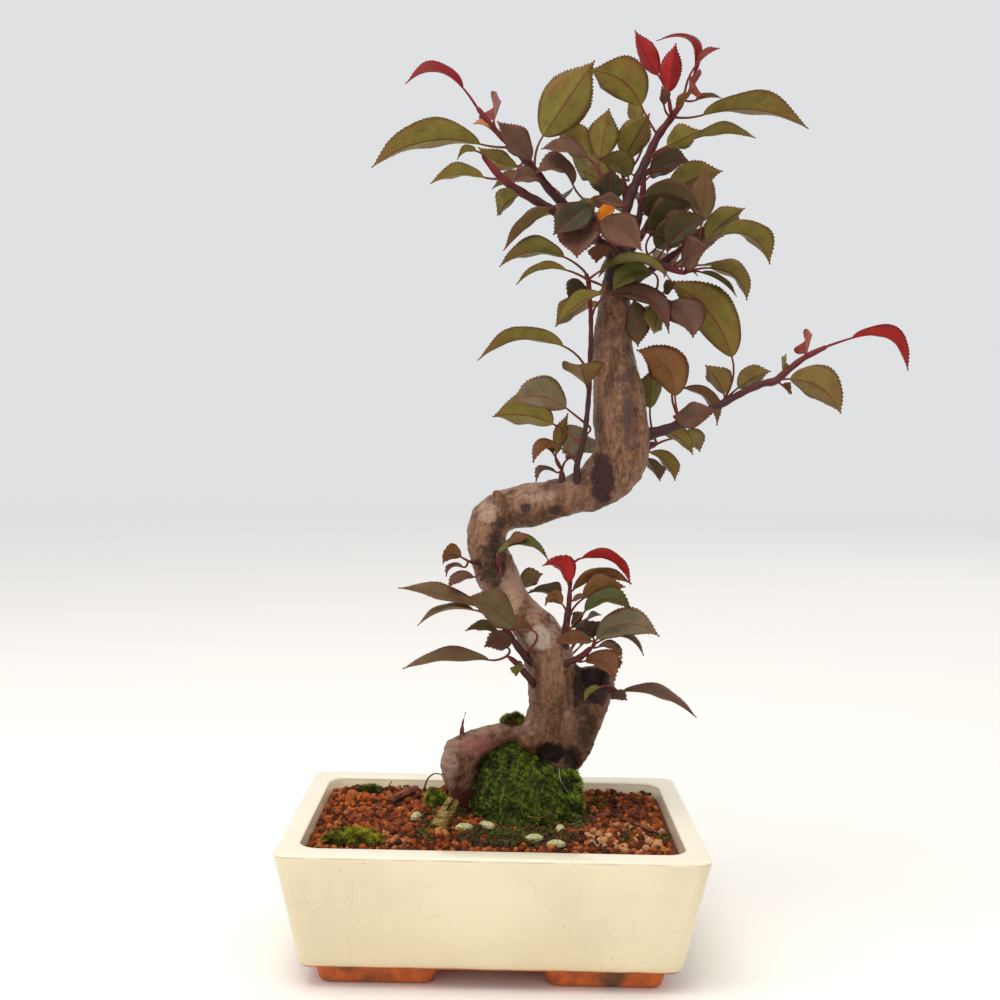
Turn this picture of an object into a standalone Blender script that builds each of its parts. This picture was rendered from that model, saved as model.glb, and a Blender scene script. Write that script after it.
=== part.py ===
"""Apple bonsai in a cream glazed pot, in metres, +Z up.

The pot stands on four feet at z = 0. The tree stands at mid depth of the pot and bends in an S
across the picture plane, XZ. -Y is the front. The tree's places were read off one picture of it,
as pixels of a 1000 pixel square and a depth in millimetres behind the middle of the pot.
"""
import math
import random

import bmesh
import bpy
from mathutils import Matrix, Vector
from mathutils.bvhtree import BVHTree

MM = 0.001
GAP = 0.0003
ROOM = 0.0004
WELD = 0.000001
FULL_TURN = 6.28

# Pot.
POT_WIDTH = 0.204
POT_DEPTH = 0.147
POT_HEIGHT = 0.0675
BASE_WIDTH = 0.181
BASE_DEPTH = 0.125
SIDE_RIM = 0.0107
FRONT_RIM = 0.0122
FLOOR = 0.007
FOOT_HEIGHT = 0.010
FOOT_LENGTH = 0.062
FOOT_WIDTH = 0.034
FOOT_SINK = 0.004
FOOT_INSET = 0.0050
FOOT_TAPER = 0.0035
FOOT_EDGE = 0.0025
CORNER = 0.006
TOP_EDGE = 0.0014
LOW_EDGE = 0.0035
INNER_CORNER = 0.010
HOLLOW_EDGE = 0.003
DRAIN_RADIUS = 0.008
DRAIN_X = 0.045
DRAIN_LENGTH = 0.03
SCREEN_SIDE = 0.024
SCREEN_THICK = 0.0012
# Where a screen's holes lie, in shares of half its side.
SCREEN_HOLES = (0.1, 0.5)
# How far the hollow's cutter stands over the rim, and the feet's edge inside the body.
OVER_RIM = 0.01
SUNK_EDGE = 0.0005

# Soil and what lies on it.
SOIL_TOP = 0.063
SOIL_DIP = 0.0015
GRAIN = 0.0013
SOIL_CELLS = (20, 14)
SOIL_LIFT = 0.0001

# Moss: the pixel of its middle on the soil, half its width and depth, its height, and its sides.
MOSS = {
    "moss_mound": ((526, 813), 0.0290, 0.025, 0.040, 17),
    "moss_cushion_front": ((353, 842), 0.0150, 0.0090, 0.0046, 12),
    "moss_cushion_back": ((370, 793), 0.0070, 0.0050, 0.0035, 10),
    "moss_cushion_leg": ((435, 806), 0.0048, 0.0075, 0.0085, 10),
}
# How far round the moss the soil lies smooth.
MOSS_MARGIN = 0.008
# How the mound's height falls to the right and to the front, and how flat the domes' tops are.
MOUND_SLOPE = (-0.06, 0.20)
DOME_POWER = 0.65
# Where a dome is cut flat, where its tufts begin, and how high they stand, in shares of its height.
DOME_CUT = 0.02
TUFTS_FROM = 0.05
TUFT_RISE = 0.07
# The moss on the joint of trunk and arched root: its pixel, depth and half sizes in mm.
JOINT_MOSS = (513, 724, 7), (6.5, 6.0, 5.0)

# Stones and grains of fertiliser: the pixel of the middle, and half the length in mm or the turn in degrees.
STONES = (
    (440, 837, 4.6), (657, 846, 3.8), (592, 846, 3.4), (608, 838, 3.0), (622, 850, 3.2), (338, 802, 4.0),
    (354, 795, 3.4), (392, 842, 2.4), (406, 844, 3.0), (578, 824, 3.2),
)
STONE_SHAPE = (1.15, 1.0, 0.8)
# Stones that the picture doesn't fix: how many, their half sizes, and how far they keep from the walls.
LOOSE_STONES = 8
LOOSE_SIZES = (0.0022, 0.0036)
LOOSE_MARGIN = (0.012, 0.010)
PELLETS = ((464, 831, 8), (487, 829, -30), (416, 820, 70), (556, 848, 3), (534, 842, 8), (560, 833, 85))
PELLET_SIZES = (0.0048, 0.0025, 0.0023, 1.0)
PELLET_LIFT = 0.0018
# Dead roots that lie on the soil: their pixels, and their radius in mm.
DEAD_ROOTS = {
    "dead_root": (((596, 818), (612, 817), (634, 825), (662, 838)), 1.0),
    "dead_root_left": (((390, 806), (398, 801), (407, 797), (416, 793)), 2.2),
}
ROOT_LIFT = 0.0002
# The split stub: its ends, its radii, and its split's sizes and turn.
SPLIT_ROOT = (437, 829), (454, 800, -17)
SPLIT_RADII = (0.0042, 0.0040, 0.0032)
SPLIT_SIZES = (0.0012, 0.02, 0.016)
SPLIT_TURN = 0.6

# The eye that the pixels were read from: its place, its pitch and roll, and its focal length in pixels.
EYE = Vector((0.0, -0.6555, 0.2644))
EYE_PITCH = math.radians(3.13)
EYE_ROLL = math.radians(1.16)
EYE_FOCAL = 1292.0
PICTURE_MIDDLE = 500.0

# The middle of the tree's depth behind the pot's, in mm.
TREE_DEPTH = 12

# The middle of the whole plant's box comes over the origin.
MIDDLE = Vector((-0.0517, -0.0018, 0.0))

# Wood: each point is a pixel, a depth in mm and half the width in pixels.
TRUNK = (
    (543, 826, 12, 17), (544, 800, 12, 19), (546, 778, 9, 22), (549, 760, 5, 26), (552, 742, 2, 29),
    (556, 722, 0, 28.5), (556, 700, 0, 27.5), (553, 680, -1, 26.5), (549, 660, -2, 26),
    (544, 643, -2, 25), (534, 627, -2, 21),
    (520, 612, -2, 18), (508, 595, -1, 19), (498, 578, 0, 21), (491, 560, 1, 21), (487, 540, 2, 20),
    (490, 521, 2, 21), (506, 510, 1, 21), (530, 505, 0, 22), (551, 501, -1, 20), (571, 494, -1, 20),
    (591, 488, 0, 23), (609, 476, 0, 27), (620, 458, 0, 28), (622, 438, 0, 27), (620, 416, 0, 27),
    (618, 396, 0, 26), (616, 374, 0, 24), (613, 350, 1, 21), (613, 325, 1, 18), (615, 300, 1, 16),
    (616, 280, 2, 14), (618, 260, 2, 12.5), (619, 240, 2, 11), (619, 224, 2, 8),
)
ROOT_FLARE = ((548, 720, -2, 24), (538, 736, -6, 20), (531, 745, -8, 15), (528, 750, -9, 10))
LEFT_LEG = (
    (545, 742, 6, 20), (525, 736, 5, 14), (508, 733, 4, 10), (491, 737, 1, 13), (475, 745, -1, 16.5),
    (462, 753, -2, 19), (459, 765, -1, 20), (460, 778, 1, 18), (464, 792, 4, 14), (467, 803, 6, 10),
    (471, 813, 8, 7), (474, 829, 9, 5),
)
CUT_LIMB = (
    (566, 764, 6, 15), (577, 746, 4, 15), (587, 726, 1, 13.5), (594, 707, -2, 14.5), (597, 692, -4, 17),
    (597, 678, -5, 18.5), (597, 667, -5, 17),
)
STUBS = (
    ((497, 506, -6, 5.5), (497, 490, -6, 4.2)),
    ((548, 630, -8, 4), (547, 611, -9, 3)),
    ((503, 582, -6, 8), (506, 554, -8, 6.5)),
    ((607, 672, -8, 5), (622, 660, -9, 3.4)),
    ((461, 738, -4, 2.8), (463, 722, -5, 2.4), (466, 711, -5, 1.7)),
    ((456, 738, -5, 2.6), (458, 723, -6, 2)),
)

# The hollow of the cut limb: its pixel and depth, its half sizes in metres and its lean.
SCOOP = (592, 677, -14), (0.0072, 0.0095, 0.0090)
SCOOP_LEAN = 0.35

# Swellings and wounds of the bark: pixel, depth, reach and height in mm.
LUMPS = (
    (541, 636, -14, 9, 2.2), (527, 508, -11, 6, -0.9), (554, 513, -11, 6, -1.4), (596, 486, -14, 9, -3.0),
    (590, 345, -10, 6, -1.3), (476, 548, -8, 9, 1.4), (496, 582, -10, 6, 1.3), (549, 752, -15, 10, -4.0),
    (527, 742, -14, 8, 2.2), (588, 505, -8, 8, 1.0), (640, 432, -4, 8, 1.6), (447, 745, -6, 7, 1.2),
    (470, 752, -9, 6, 1.2), (566, 663, -12, 7, 1.3), (600, 420, -12, 9, 0.8), (628, 380, -12, 9, -0.7),
)

# Leafy stems. "stem" has points like the wood's, from inside what bears it to its tip. Each leaf has
# the pixels of its stalk's foot, its blade's base and its tip, the depth of base and tip in mm, the
# rise of its arched rib, its width in mm, how far its upper face turns to the front in degrees, and
# its fold along the rib in degrees.
SHOOTS = {
    "shoot_crown_left": {
        "stem": ((616, 232, 0, 5), (598, 221, -2, 5), (577, 213, -5, 4.6), (556, 197, -8, 4.4),
                 (535, 171, -11, 4.2), (513, 147, -13, 3.6), (496, 131, -14, 3), (476, 106, -15, 2.4)),
        "leaves": (
            ((477, 107), (463, 88), (405, 84), -16, -20, 7, 13, 25, 25),
            ((512, 150), (480, 144), (371, 168), -14, -14, 7, 24, -38, 24),
            ((500, 136), (490, 128), (473, 124), -16, -18, 1, 7, 20, 20),
            ((497, 131), (494, 119), (501, 101), -15, 2, 0, 20, 5, 38),
            ((536, 171), (543, 136), (595, 60), -12, -14, 0, 26, -78, 10),
            ((532, 167), (531, 160), (497, 121), -15, -22, 0, 16, 60, 20),
            ((548, 190), (537, 178), (513, 183), -16, -26, 2, 12, 55, 20),
            ((524, 160), (517, 166), (478, 147), -9, -8, -2, 12, -58, 18),
            ((566, 203), (550, 209), (503, 251), -12, -18, 1, 16, -25, 24),
        ),
    },
    "shoot_crown_left_low": {
        "stem": ((615, 252, 0, 4.4), (596, 239, -5, 4.4), (572, 223, -10, 4.2), (547, 207, -14, 4.6),
                 (521, 192, -16, 4.4), (502, 178, -17, 4), (482, 155, -18, 2.6)),
        "leaves": (
            ((503, 180), (483, 177), (430, 184), -20, -22, 3, 13, -35, 22),
            ((494, 169), (476, 151), (457, 160), -21, -24, 2, 9, -20, 20),
            ((528, 195), (518, 195), (497, 216), -20, -28, 1, 16, -40, 26),
            ((566, 217), (590, 206), (553, 235), -20, -30, 0, 20, 62, 18),
            ((588, 227), (586, 221), (577, 258), -18, -32, 1, 23, 74, 16),
            ((596, 230), (594, 214), (575, 202), -16, -26, 0, 12, 50, 20),
        ),
    },
    "shoot_crown_right": {
        "stem": ((620, 238, 2, 5), (625, 215, 3, 4.8), (631, 196, 4, 4.8), (637, 180, 4, 4.6),
                 (647, 159, 4, 4.4), (658, 136, 3, 4), (672, 117, 2, 3.4), (684, 100, 1, 2.6)),
        "leaves": (
            ((657, 138), (641, 105), (588, 71), 0, -16, 5, 25, -62, 14),
            ((671, 118), (658, 75), (635, 30), 3, 4, -1, 13, -62, 25),
            ((672, 116), (669, 92), (676, 43), -4, -6, 0, 13, -72, 22),
            ((683, 101), (694, 75), (656, 41), 1, 4, 11, 12, 12, 20),
            ((685, 99), (697, 64), (720, 48), -1, 2, 1, 8, 30, 30),
            ((682, 103), (690, 92), (690, 77), -5, -20, 0, 20, -5, 40),
            ((673, 117), (676, 108), (692, 92), -3, -8, 0, 8, 40, 25),
            ((684, 101), (696, 100), (722, 98), 5, 8, 1, 8, 20, 20),
            ((670, 119), (664, 105), (662, 86), -6, -10, 0, 8, 45, 20),
            ((668, 122), (703, 115), (809, 129), 2, 2, 6, 23, -32, 22),
            ((650, 154), (690, 140), (756, 138), 6, 8, 3, 14, -28, 22),
            ((649, 156), (667, 146), (701, 130), -4, -9, 0, 15, -60, 18),
        ),
    },
    "spur_crown_centre": {
        "stem": ((618, 246, -7, 3.6), (609, 229, -12, 3.6), (603, 208, -13, 3.2), (601, 196, -12, 2.6)),
        "leaves": (
            ((601, 198), (600, 158), (609, 108), -6, -8, 0, 17, -80, 14),
            ((601, 200), (590, 160), (553, 124), -2, -2, 1, 20, -55, 18),
            ((601, 203), (588, 158), (541, 149), -8, -12, 2, 15, 35, 20),
            ((602, 205), (573, 185), (535, 174), -8, -10, 6, 20, 28, 20),
            ((603, 204), (610, 199), (612, 168), -14, -22, 0, 17, 80, 16),
            ((603, 212), (624, 204), (597, 199), -16, -24, 0, 9, 48, 20),
        ),
    },
    "spur_crown_back": {
        "stem": ((622, 232, 8, 4.4), (626, 212, 14, 4), (625, 192, 17, 3.4), (623, 178, 18, 2.6)),
        "leaves": (
            ((624, 184), (624, 158), (650, 113), 14, 8, 0, 20, -62, 16),
            ((624, 183), (628, 177), (600, 160), 10, 2, 3, 17, -50, 18),
            ((624, 181), (640, 125), (628, 101), 18, 20, 0, 11, -60, 18),
            ((625, 188), (640, 178), (673, 170), 12, 8, 1, 10, -14, 20),
            ((625, 192), (594, 176), (570, 152), 22, 34, 1, 20, -60, 16),
            ((625, 190), (650, 176), (690, 162), 22, 34, 3, 20, -50, 18),
            ((626, 212), (644, 214), (678, 196), 8, 6, 1, 19, -62, 16),
            ((625, 206), (612, 190), (580, 170), 14, 18, 1, 18, -56, 18),
        ),
    },
    "spur_crown_front": {
        "stem": ((622, 264, -6, 3.6), (615, 250, -13, 3.6), (605, 232, -18, 3)),
        "leaves": (
            ((604, 228), (598, 220), (616, 207), -17, -23, 0, 10, 62, 16),
            ((606, 234), (601, 221), (642, 251), -28, -36, 2, 18, 80, 16),
            ((609, 236), (606, 245), (596, 263), -12, -16, 0, 15, 45, 20),
        ),
    },
    "shoot_crown_far_right": {
        "stem": ((622, 256, -2, 4.4), (640, 258, -3, 4.4), (656, 263, -5, 4), (670, 268, -6, 3.6),
                 (684, 274, -7, 2.8)),
        "leaves": (
            ((684, 274), (720, 234), (770, 265), -4, -2, 7, 21, -34, 22),
            ((678, 270), (706, 240), (745, 208), 0, 4, 1, 17, -58, 18),
            ((676, 270), (702, 222), (706, 167), -8, -10, 0, 15, -72, 16),
            ((683, 274), (683, 263), (708, 248), -12, -28, 1, 20, 58, 18),
            ((680, 272), (710, 268), (747, 301), -8, -10, 5, 17, -34, 22),
            ((681, 273), (701, 272), (737, 297), -12, -14, 2, 9, -16, 20),
            ((676, 269), (704, 265), (743, 271), 4, 6, 1, 9, 10, 20),
            ((660, 265), (668, 244), (708, 218), -14, -22, 2, 24, -40, 18),
            ((652, 262), (650, 236), (700, 202), 4, 2, 3, 24, -46, 18),
            ((648, 260), (656, 248), (694, 228), 8, 10, 2, 20, -56, 16),
            ((668, 268), (688, 254), (724, 236), 10, 14, 2, 17, -48, 18),
        ),
    },
    "spur_high_right": {
        "stem": ((624, 260, 4, 3.6), (641, 236, 8, 3.4), (652, 215, 9, 2.6)),
        "leaves": (
            ((651, 218), (669, 195), (723, 171), 8, 4, 2, 20, -68, 16),
            ((650, 219), (645, 196), (706, 221), 2, -6, 6, 18, -30, 20),
            ((636, 242), (654, 232), (684, 246), 8, 10, 2, 16, -46, 18),
        ),
    },
    "spur_mid_right": {
        "stem": ((617, 290, -3, 4), (634, 297, -6, 3.6), (652, 301, -8, 3.4), (667, 301, -9, 2.8)),
        "leaves": (
            ((665, 301), (672, 302), (693, 338), -12, -20, 3, 20, 62, 18),
            ((663, 301), (667, 304), (684, 327), -6, -8, 1, 16, 50, 18),
            ((655, 301), (650, 272), (613, 292), -16, -20, 4, 14, 60, 20),
            ((636, 297), (634, 301), (638, 347), -13, -13, 0, 15, -70, 22),
            ((660, 301), (664, 292), (676, 283), -14, -20, 0, 9, 50, 20),
            ((652, 301), (662, 306), (654, 334), -8, -12, 1, 14, -56, 18),
        ),
    },
    "shoot_left_upright": {
        "stem": ((577, 484, -8, 4), (577, 466, -11, 3.2), (582, 446, -12, 2.9), (586, 424, -12, 2.7),
                 (589, 392, -12, 2.6), (590, 360, -12, 2.5), (591, 330, -12, 2.4), (590, 300, -12, 2.2),
                 (588, 280, -12, 2.6), (585, 272, -12, 2.4)),
        "leaves": (
            ((586, 274), (564, 257), (499, 267), -12, -13, 5, 18, -34, 22),
            ((587, 279), (566, 270), (516, 285), -14, -16, 4, 10, -24, 22),
            ((589, 284), (586, 287), (568, 299), -15, -22, 1, 14, 70, 18),
            ((590, 290), (583, 297), (555, 327), -12, -13, 0, 14, -48, 20),
            ((591, 288), (600, 293), (558, 323), -8, -6, 2, 13, -38, 20),
            ((588, 277), (602, 270), (671, 280), -14, -20, 7, 12, 30, 22),
            ((591, 338), (614, 294), (669, 334), -15, -21, 8, 16, 42, 20),
            ((589, 382), (563, 346), (477, 361), -12, -15, 7, 17, -28, 24),
            ((589, 391), (586, 384), (581, 364), -14, -36, 0, 25, 4, 30),
            ((586, 427), (566, 408), (512, 401), -13, -20, 4, 23, 52, 20),
            ((581, 451), (553, 424), (492, 417), -14, -14, 3, 24, -46, 20),
            ((578, 460), (562, 449), (533, 463), -17, -23, 5, 10, 40, 20),
            ((584, 434), (588, 433), (562, 453), -4, 10, 0, 20, 60, 18),
            ((580, 456), (583, 452), (602, 441), -4, 8, 0, 15, 58, 18),
        ),
    },
    "spur_bend_top": {
        "stem": ((562, 492, -6, 3.6), (562, 478, -7, 3.4), (562, 470, -8, 2.6)),
        "leaves": (
            ((561, 473), (556, 472), (536, 482), -10, -14, 4, 8, 24, 20),
            ((562, 472), (556, 454), (568, 413), -9, -11, 0, 9, -60, 20),
            ((561, 474), (553, 453), (544, 439), -12, -16, 0, 8, 40, 20),
            ((563, 471), (567, 460), (573, 456), -6, -3, 0, 6, 30, 20),
        ),
    },
    "shoot_right": {
        "stem": ((636, 440, 0, 6.5), (650, 434, -1, 6.2), (668, 429, -2, 5.2), (681, 423, -3, 4.8),
                 (702, 413, -4, 4), (720, 405, -5, 3.8), (742, 393, -6, 3.4), (762, 384, -7, 3.6),
                 (775, 381, -8, 4), (786, 372, -8, 3.4), (804, 358, -9, 3), (828, 346, -10, 2.6)),
        "leaves": (
            ((827, 347), (852, 338), (908, 371), -11, -13, 9, 17, -24, 22),
            ((802, 360), (806, 353), (812, 334), -10, 4, 0, 17, 8, 36),
            ((785, 373), (783, 368), (782, 357), -9, 2, 0, 12, 8, 34),
            ((777, 380), (790, 379), (841, 414), -10, -16, 5, 22, -56, 18),
            ((775, 382), (782, 385), (792, 394), -8, -6, 0, 9, 30, 20),
            ((719, 406), (724, 394), (705, 365), -7, -10, 1, 16, -52, 20),
            ((724, 403), (738, 388), (771, 371), -6, -7, 1, 15, -50, 20),
            ((724, 402), (732, 357), (665, 280), -3, -8, 6, 26, -66, 14),
            ((677, 424), (675, 396), (636, 350), -4, -8, 6, 22, -70, 14),
            ((681, 422), (676, 416), (717, 409), -9, -18, -2, 15, 66, 20),
            ((683, 421), (684, 388), (717, 426), 4, 8, 6, 11, -40, 20),
        ),
    },
    "spur_right_back": {
        "stem": ((628, 448, 4, 4.6), (646, 446, 10, 4), (657, 444, 13, 3)),
        "leaves": (
            ((650, 445), (658, 430), (693, 455), 14, 16, 3, 13, -44, 20),
            ((654, 444), (650, 452), (675, 481), 15, 18, 3, 14, -38, 20),
            ((656, 444), (650, 408), (652, 368), 14, 12, 0, 15, -66, 18),
            ((652, 445), (648, 458), (660, 481), 20, 28, 0, 13, -40, 20),
            ((656, 444), (676, 438), (700, 452), 22, 34, 3, 17, -40, 20),
        ),
    },
    "spur_bend_left": {
        "stem": ((484, 562, -6, 3.2), (473, 562, -9, 3.2), (468, 561, -10, 2.2)),
        "leaves": (
            ((470, 561), (461, 557), (443, 564), -10, -12, 3, 12, -42, 22),
            ((469, 562), (463, 567), (446, 577), -12, -14, 3, 7, 20, 20),
            ((474, 563), (474, 577), (448, 588), -14, -20, 2, 10, 40, 20),
        ),
    },
    "spur_under_bend": {
        "stem": ((501, 572, -6, 3.2), (499, 564, -12, 3.2), (498, 558, -14, 2.2)),
        "leaves": (
            ((498, 560), (498, 553), (549, 561), -16, -20, 7, 12, 30, 22),
            ((499, 562), (508, 545), (530, 537), -13, -9, 1, 9, 40, 20),
            ((500, 565), (497, 575), (480, 581), -17, -22, 1, 10, 66, 20),
        ),
    },
    "shoot_lower_left": {
        "stem": ((536, 668, -8, 4), (524, 655, -13, 3.8), (513, 640, -16, 3.4), (504, 626, -18, 3),
                 (496, 618, -19, 2.4)),
        "leaves": (
            ((498, 620), (477, 606), (398, 588), -18, -20, 2, 12, 46, 18),
            ((500, 622), (474, 610), (417, 626), -22, -27, 4, 12, 14, 22),
            ((506, 630), (513, 627), (466, 597), -24, -32, 2, 20, 60, 18),
            ((507, 631), (498, 634), (465, 631), -16, -16, 2, 11, -30, 22),
            ((515, 643), (512, 641), (484, 647), -22, -28, 1, 13, 64, 20),
            ((522, 652), (532, 630), (512, 629), -20, -28, 1, 11, 46, 20),
        ),
    },
    "spur_lower_left": {
        "stem": ((538, 690, -6, 3.4), (528, 677, -14, 3.4), (515, 662, -17, 2.8), (507, 656, -17, 2.2)),
        "leaves": (
            ((508, 656), (489, 660), (402, 669), -16, -18, 3, 15, 32, 20),
            ((516, 659), (521, 664), (516, 676), -18, -20, 0, 9, 44, 20),
            ((512, 657), (508, 648), (496, 640), -12, -6, 0, 9, 30, 20),
        ),
    },
    "shoot_lower_right": {
        "stem": ((563, 656, -6, 4.6), (565, 638, -12, 4.4), (567, 620, -15, 3.8), (569, 604, -16, 2.8),
                 (570, 586, -16, 2.2), (571, 568, -16, 1.8)),
        "leaves": (
            ((571, 569), (582, 558), (631, 585), -17, -20, 6, 14, -24, 22),
            ((570, 592), (568, 583), (542, 566), -18, -20, 5, 15, -36, 24),
            ((570, 598), (573, 590), (632, 584), -14, -12, 5, 14, -30, 22),
            ((569, 615), (584, 598), (626, 587), -18, -24, 2, 17, -44, 20),
            ((568, 632), (585, 611), (633, 612), -19, -24, 7, 13, 46, 20),
            ((569, 606), (572, 601), (586, 596), -19, -22, 0, 7, 30, 20),
            ((567, 617), (562, 604), (545, 606), -17, -20, 3, 11, -34, 22),
            ((567, 628), (572, 627), (585, 612), -21, -26, 0, 9, 44, 20),
            ((570, 590), (566, 574), (568, 561), -12, -2, 0, 12, -20, 30),
        ),
    },
    "spur_lower_right": {
        "stem": ((556, 672, -8, 3.8), (567, 663, -14, 3.6), (579, 658, -17, 3.4), (592, 647, -19, 3)),
        "leaves": (
            ((592, 647), (597, 639), (660, 637), -20, -24, 7, 18, 60, 18),
            ((592, 647), (600, 641), (644, 656), -22, -27, 6, 11, 22, 22),
            ((591, 648), (598, 647), (622, 659), -24, -28, 3, 9, 32, 20),
            ((590, 649), (593, 637), (585, 620), -16, -12, 0, 15, 60, 18),
            ((590, 649), (592, 641), (556, 643), -24, -30, 1, 12, 42, 20),
            ((583, 656), (585, 661), (615, 681), -23, -30, 5, 15, 56, 20),
            ((586, 654), (604, 656), (620, 668), -20, -24, 1, 9, 50, 20),
        ),
    },
    "spur_limb": {
        "stem": ((600, 690, -6, 3.4), (611, 690, -11, 3.4), (617, 691, -13, 2.6)),
        "leaves": (
            ((616, 691), (623, 691), (697, 718), -14, -18, 4, 15, 26, 22),
            ((614, 691), (612, 694), (627, 700), -16, -20, 0, 9, 52, 20),
            ((614, 691), (600, 687), (584, 701), -20, -22, 1, 8, -30, 20),
        ),
    },
    "spur_lower_back": {
        "stem": ((516, 604, 4, 3.8), (520, 598, 9, 3.4), (522, 592, 12, 2.6)),
        "leaves": (
            ((521, 594), (523, 587), (543, 574), 13, 14, 1, 14, -52, 20),
            ((521, 594), (511, 584), (480, 580), 17, 22, 3, 15, -40, 20),
            ((522, 592), (531, 592), (560, 602), 18, 32, 3, 17, -30, 20),
        ),
    },
}

# Stems and leaves of the side that the picture hides: the same kind of stem points, then how many
# leaves stand round it, each turned on by the golden angle, and their length in mm.
BACK_SHOOTS = {
    "spur_back_top": (
        ((620, 268, 6, 4.4), (634, 238, 19, 3.8), (642, 200, 26, 3.2), (644, 170, 28, 2.4)),
        5, 34,
    ),
    "spur_back_left": (
        ((610, 256, 6, 4.4), (588, 232, 18, 3.8), (566, 206, 23, 3.2), (556, 190, 25, 2.4)),
        5, 34,
    ),
    "spur_back_right": (
        ((628, 286, 6, 4.4), (654, 268, 18, 3.8), (680, 250, 23, 3.2), (694, 238, 25, 2.4)),
        5, 34,
    ),
    "spur_back_mid": (
        ((616, 330, 6, 4), (622, 314, 18, 3.4), (628, 302, 23, 2.6)),
        4, 34,
    ),
    "spur_back_low": (
        ((560, 676, 8, 3.8), (566, 660, 17, 3.2), (572, 648, 23, 2.4)),
        4, 30,
    ),
}
GOLDEN_ANGLE = math.radians(137.5)
# Their leaves begin at this share of the stem, stand off to the back, and rise, arch and turn by these
# ranges and shares of their length.
BACK_FROM = 0.35
BACK_AWAY = (0.35, 0.65)
BACK_LIFT = (-0.15, 0.45)
BACK_LENGTH = (0.8, 1.05)
BACK_STALK = 0.010
STALK_RISE = 0.5
BLADE_DROOP = 0.1
BACK_ARCH = 0.12
BACK_WIDTH = 0.46
BACK_TURN = (-35, 5)
BACK_FOLD = 20
BACK_NEAREST = 0.004
# How often a leaf at the back is tried, and the turn from one try to the next.
TRIES = 24
TRY_TURN = 0.35

# Wood: how far apart a path's points lie, how many sides its tubes have, and the bark's own sizes.
WOOD_STEP = 0.006
STUB_STEP = 0.02
STEM_STEP = 0.014
SEARCH_STEP = 0.008
TRUNK_SIDES = 16
LIMB_SIDES = 12
STUB_SIDES = 8
STEM_SIDES = 6
SKIN = 0.0016
SKIN_PASSES = 5
TRUNK_TRIANGLES = 1350
FLUTE = 0.0004
# The flutes' rates per metre: along the wood, their sway and its rate, and across the wood.
FLUTE_ALONG = (210, 2.1, 160)
FLUTE_ACROSS = (260, 310, 60)

# Room kept round a stem and round a leaf.
STEM_ROOM = 0.0006
LEAF_ROOM = 0.0005

# A leaf's own sizes, and the powers of its outline.
OUTLINE = (0.85, 0.55, 0.55)
BLADE_HALF = 0.0003
RIB_UP = 0.0003
RIB_DOWN = 0.0006
STALK_RADIUS = 0.0006
FIRST_NOTCH = 0.95
NOTCH = 0.84
TOOTH = 1.07
# Where the teeth begin and how far they run along the rib, and each tooth's place and lean in its step.
TEETH_FROM = 0.11
TEETH_RUN = 0.82
TOOTH_AT = 0.8
TOOTH_LEAN = 0.12
LONG_BLADE = 0.024
LONG_STALK = 0.015

# Colours read off the picture.
BARK = (0.17, 0.10, 0.075)
GREEN = (0.16, 0.13, 0.05)

for thing in list(bpy.data.objects):
    bpy.data.objects.remove(thing, do_unlink=True)


def material(name, colour, roughness):
    """A plain Principled BSDF."""
    made = bpy.data.materials.new(name)
    made.use_nodes = True
    shader = made.node_tree.nodes["Principled BSDF"]
    shader.inputs["Base Color"].default_value = (*colour, 1.0)
    shader.inputs["Roughness"].default_value = roughness
    return made


def collection(name):
    made = bpy.data.collections.new(name)
    bpy.context.scene.collection.children.link(made)
    return made


PLANT = collection("apple_bonsai")
CUTTERS = collection("cutters")
STAND = bpy.data.objects.new("apple_bonsai_stand", None)
PLANT.objects.link(STAND)
STAND.location = MIDDLE


def place(mesh_name, builder, home=None):
    """Makes an object of the bmesh that builder fills, in one collection."""
    shape = bmesh.new()
    builder(shape)
    bmesh.ops.recalc_face_normals(shape, faces=shape.faces)
    mesh = bpy.data.meshes.new(mesh_name)
    shape.to_mesh(mesh)
    shape.free()
    made = bpy.data.objects.new(mesh_name, mesh)
    (home or PLANT).objects.link(made)
    return made


def cutter(made):
    """Keeps an object out of the finished plant."""
    made.hide_render = True
    made.display_type = "WIRE"
    return made


def evaluated_shape(made):
    """The bmesh of an object, or of a curve, with its modifiers applied."""
    bpy.context.view_layer.update()
    seen = made.evaluated_get(bpy.context.evaluated_depsgraph_get())
    mesh = bpy.data.meshes.new_from_object(seen)
    shape = bmesh.new()
    shape.from_mesh(mesh)
    bpy.data.meshes.remove(mesh)
    return shape


def replaced(made, shape):
    """A plain mesh object that takes the name and the collection of another."""
    name, home, turned = made.name, made.users_collection[0], made.matrix_world.copy()
    bpy.data.objects.remove(made, do_unlink=True)
    mesh = bpy.data.meshes.new(name)
    shape.to_mesh(mesh)
    shape.free()
    fresh = bpy.data.objects.new(name, mesh)
    home.objects.link(fresh)
    fresh.matrix_world = turned
    return fresh


def baked(made):
    """Turns an object with modifiers, or a curve, into a plain mesh object of the same name."""
    shape = evaluated_shape(made)
    bmesh.ops.remove_doubles(shape, verts=shape.verts, dist=WELD)
    return replaced(made, shape)


def bodies(shape):
    """The faces of each separate body of a bmesh, largest body first."""
    left, found = set(shape.faces), []
    while left:
        body, front = set(), [left.pop()]
        while front:
            face = front.pop()
            body.add(face)
            near = {f for e in face.edges for f in e.link_faces} & left
            left -= near
            front += near
        found.append(body)
    return sorted(found, key=len, reverse=True)


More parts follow.
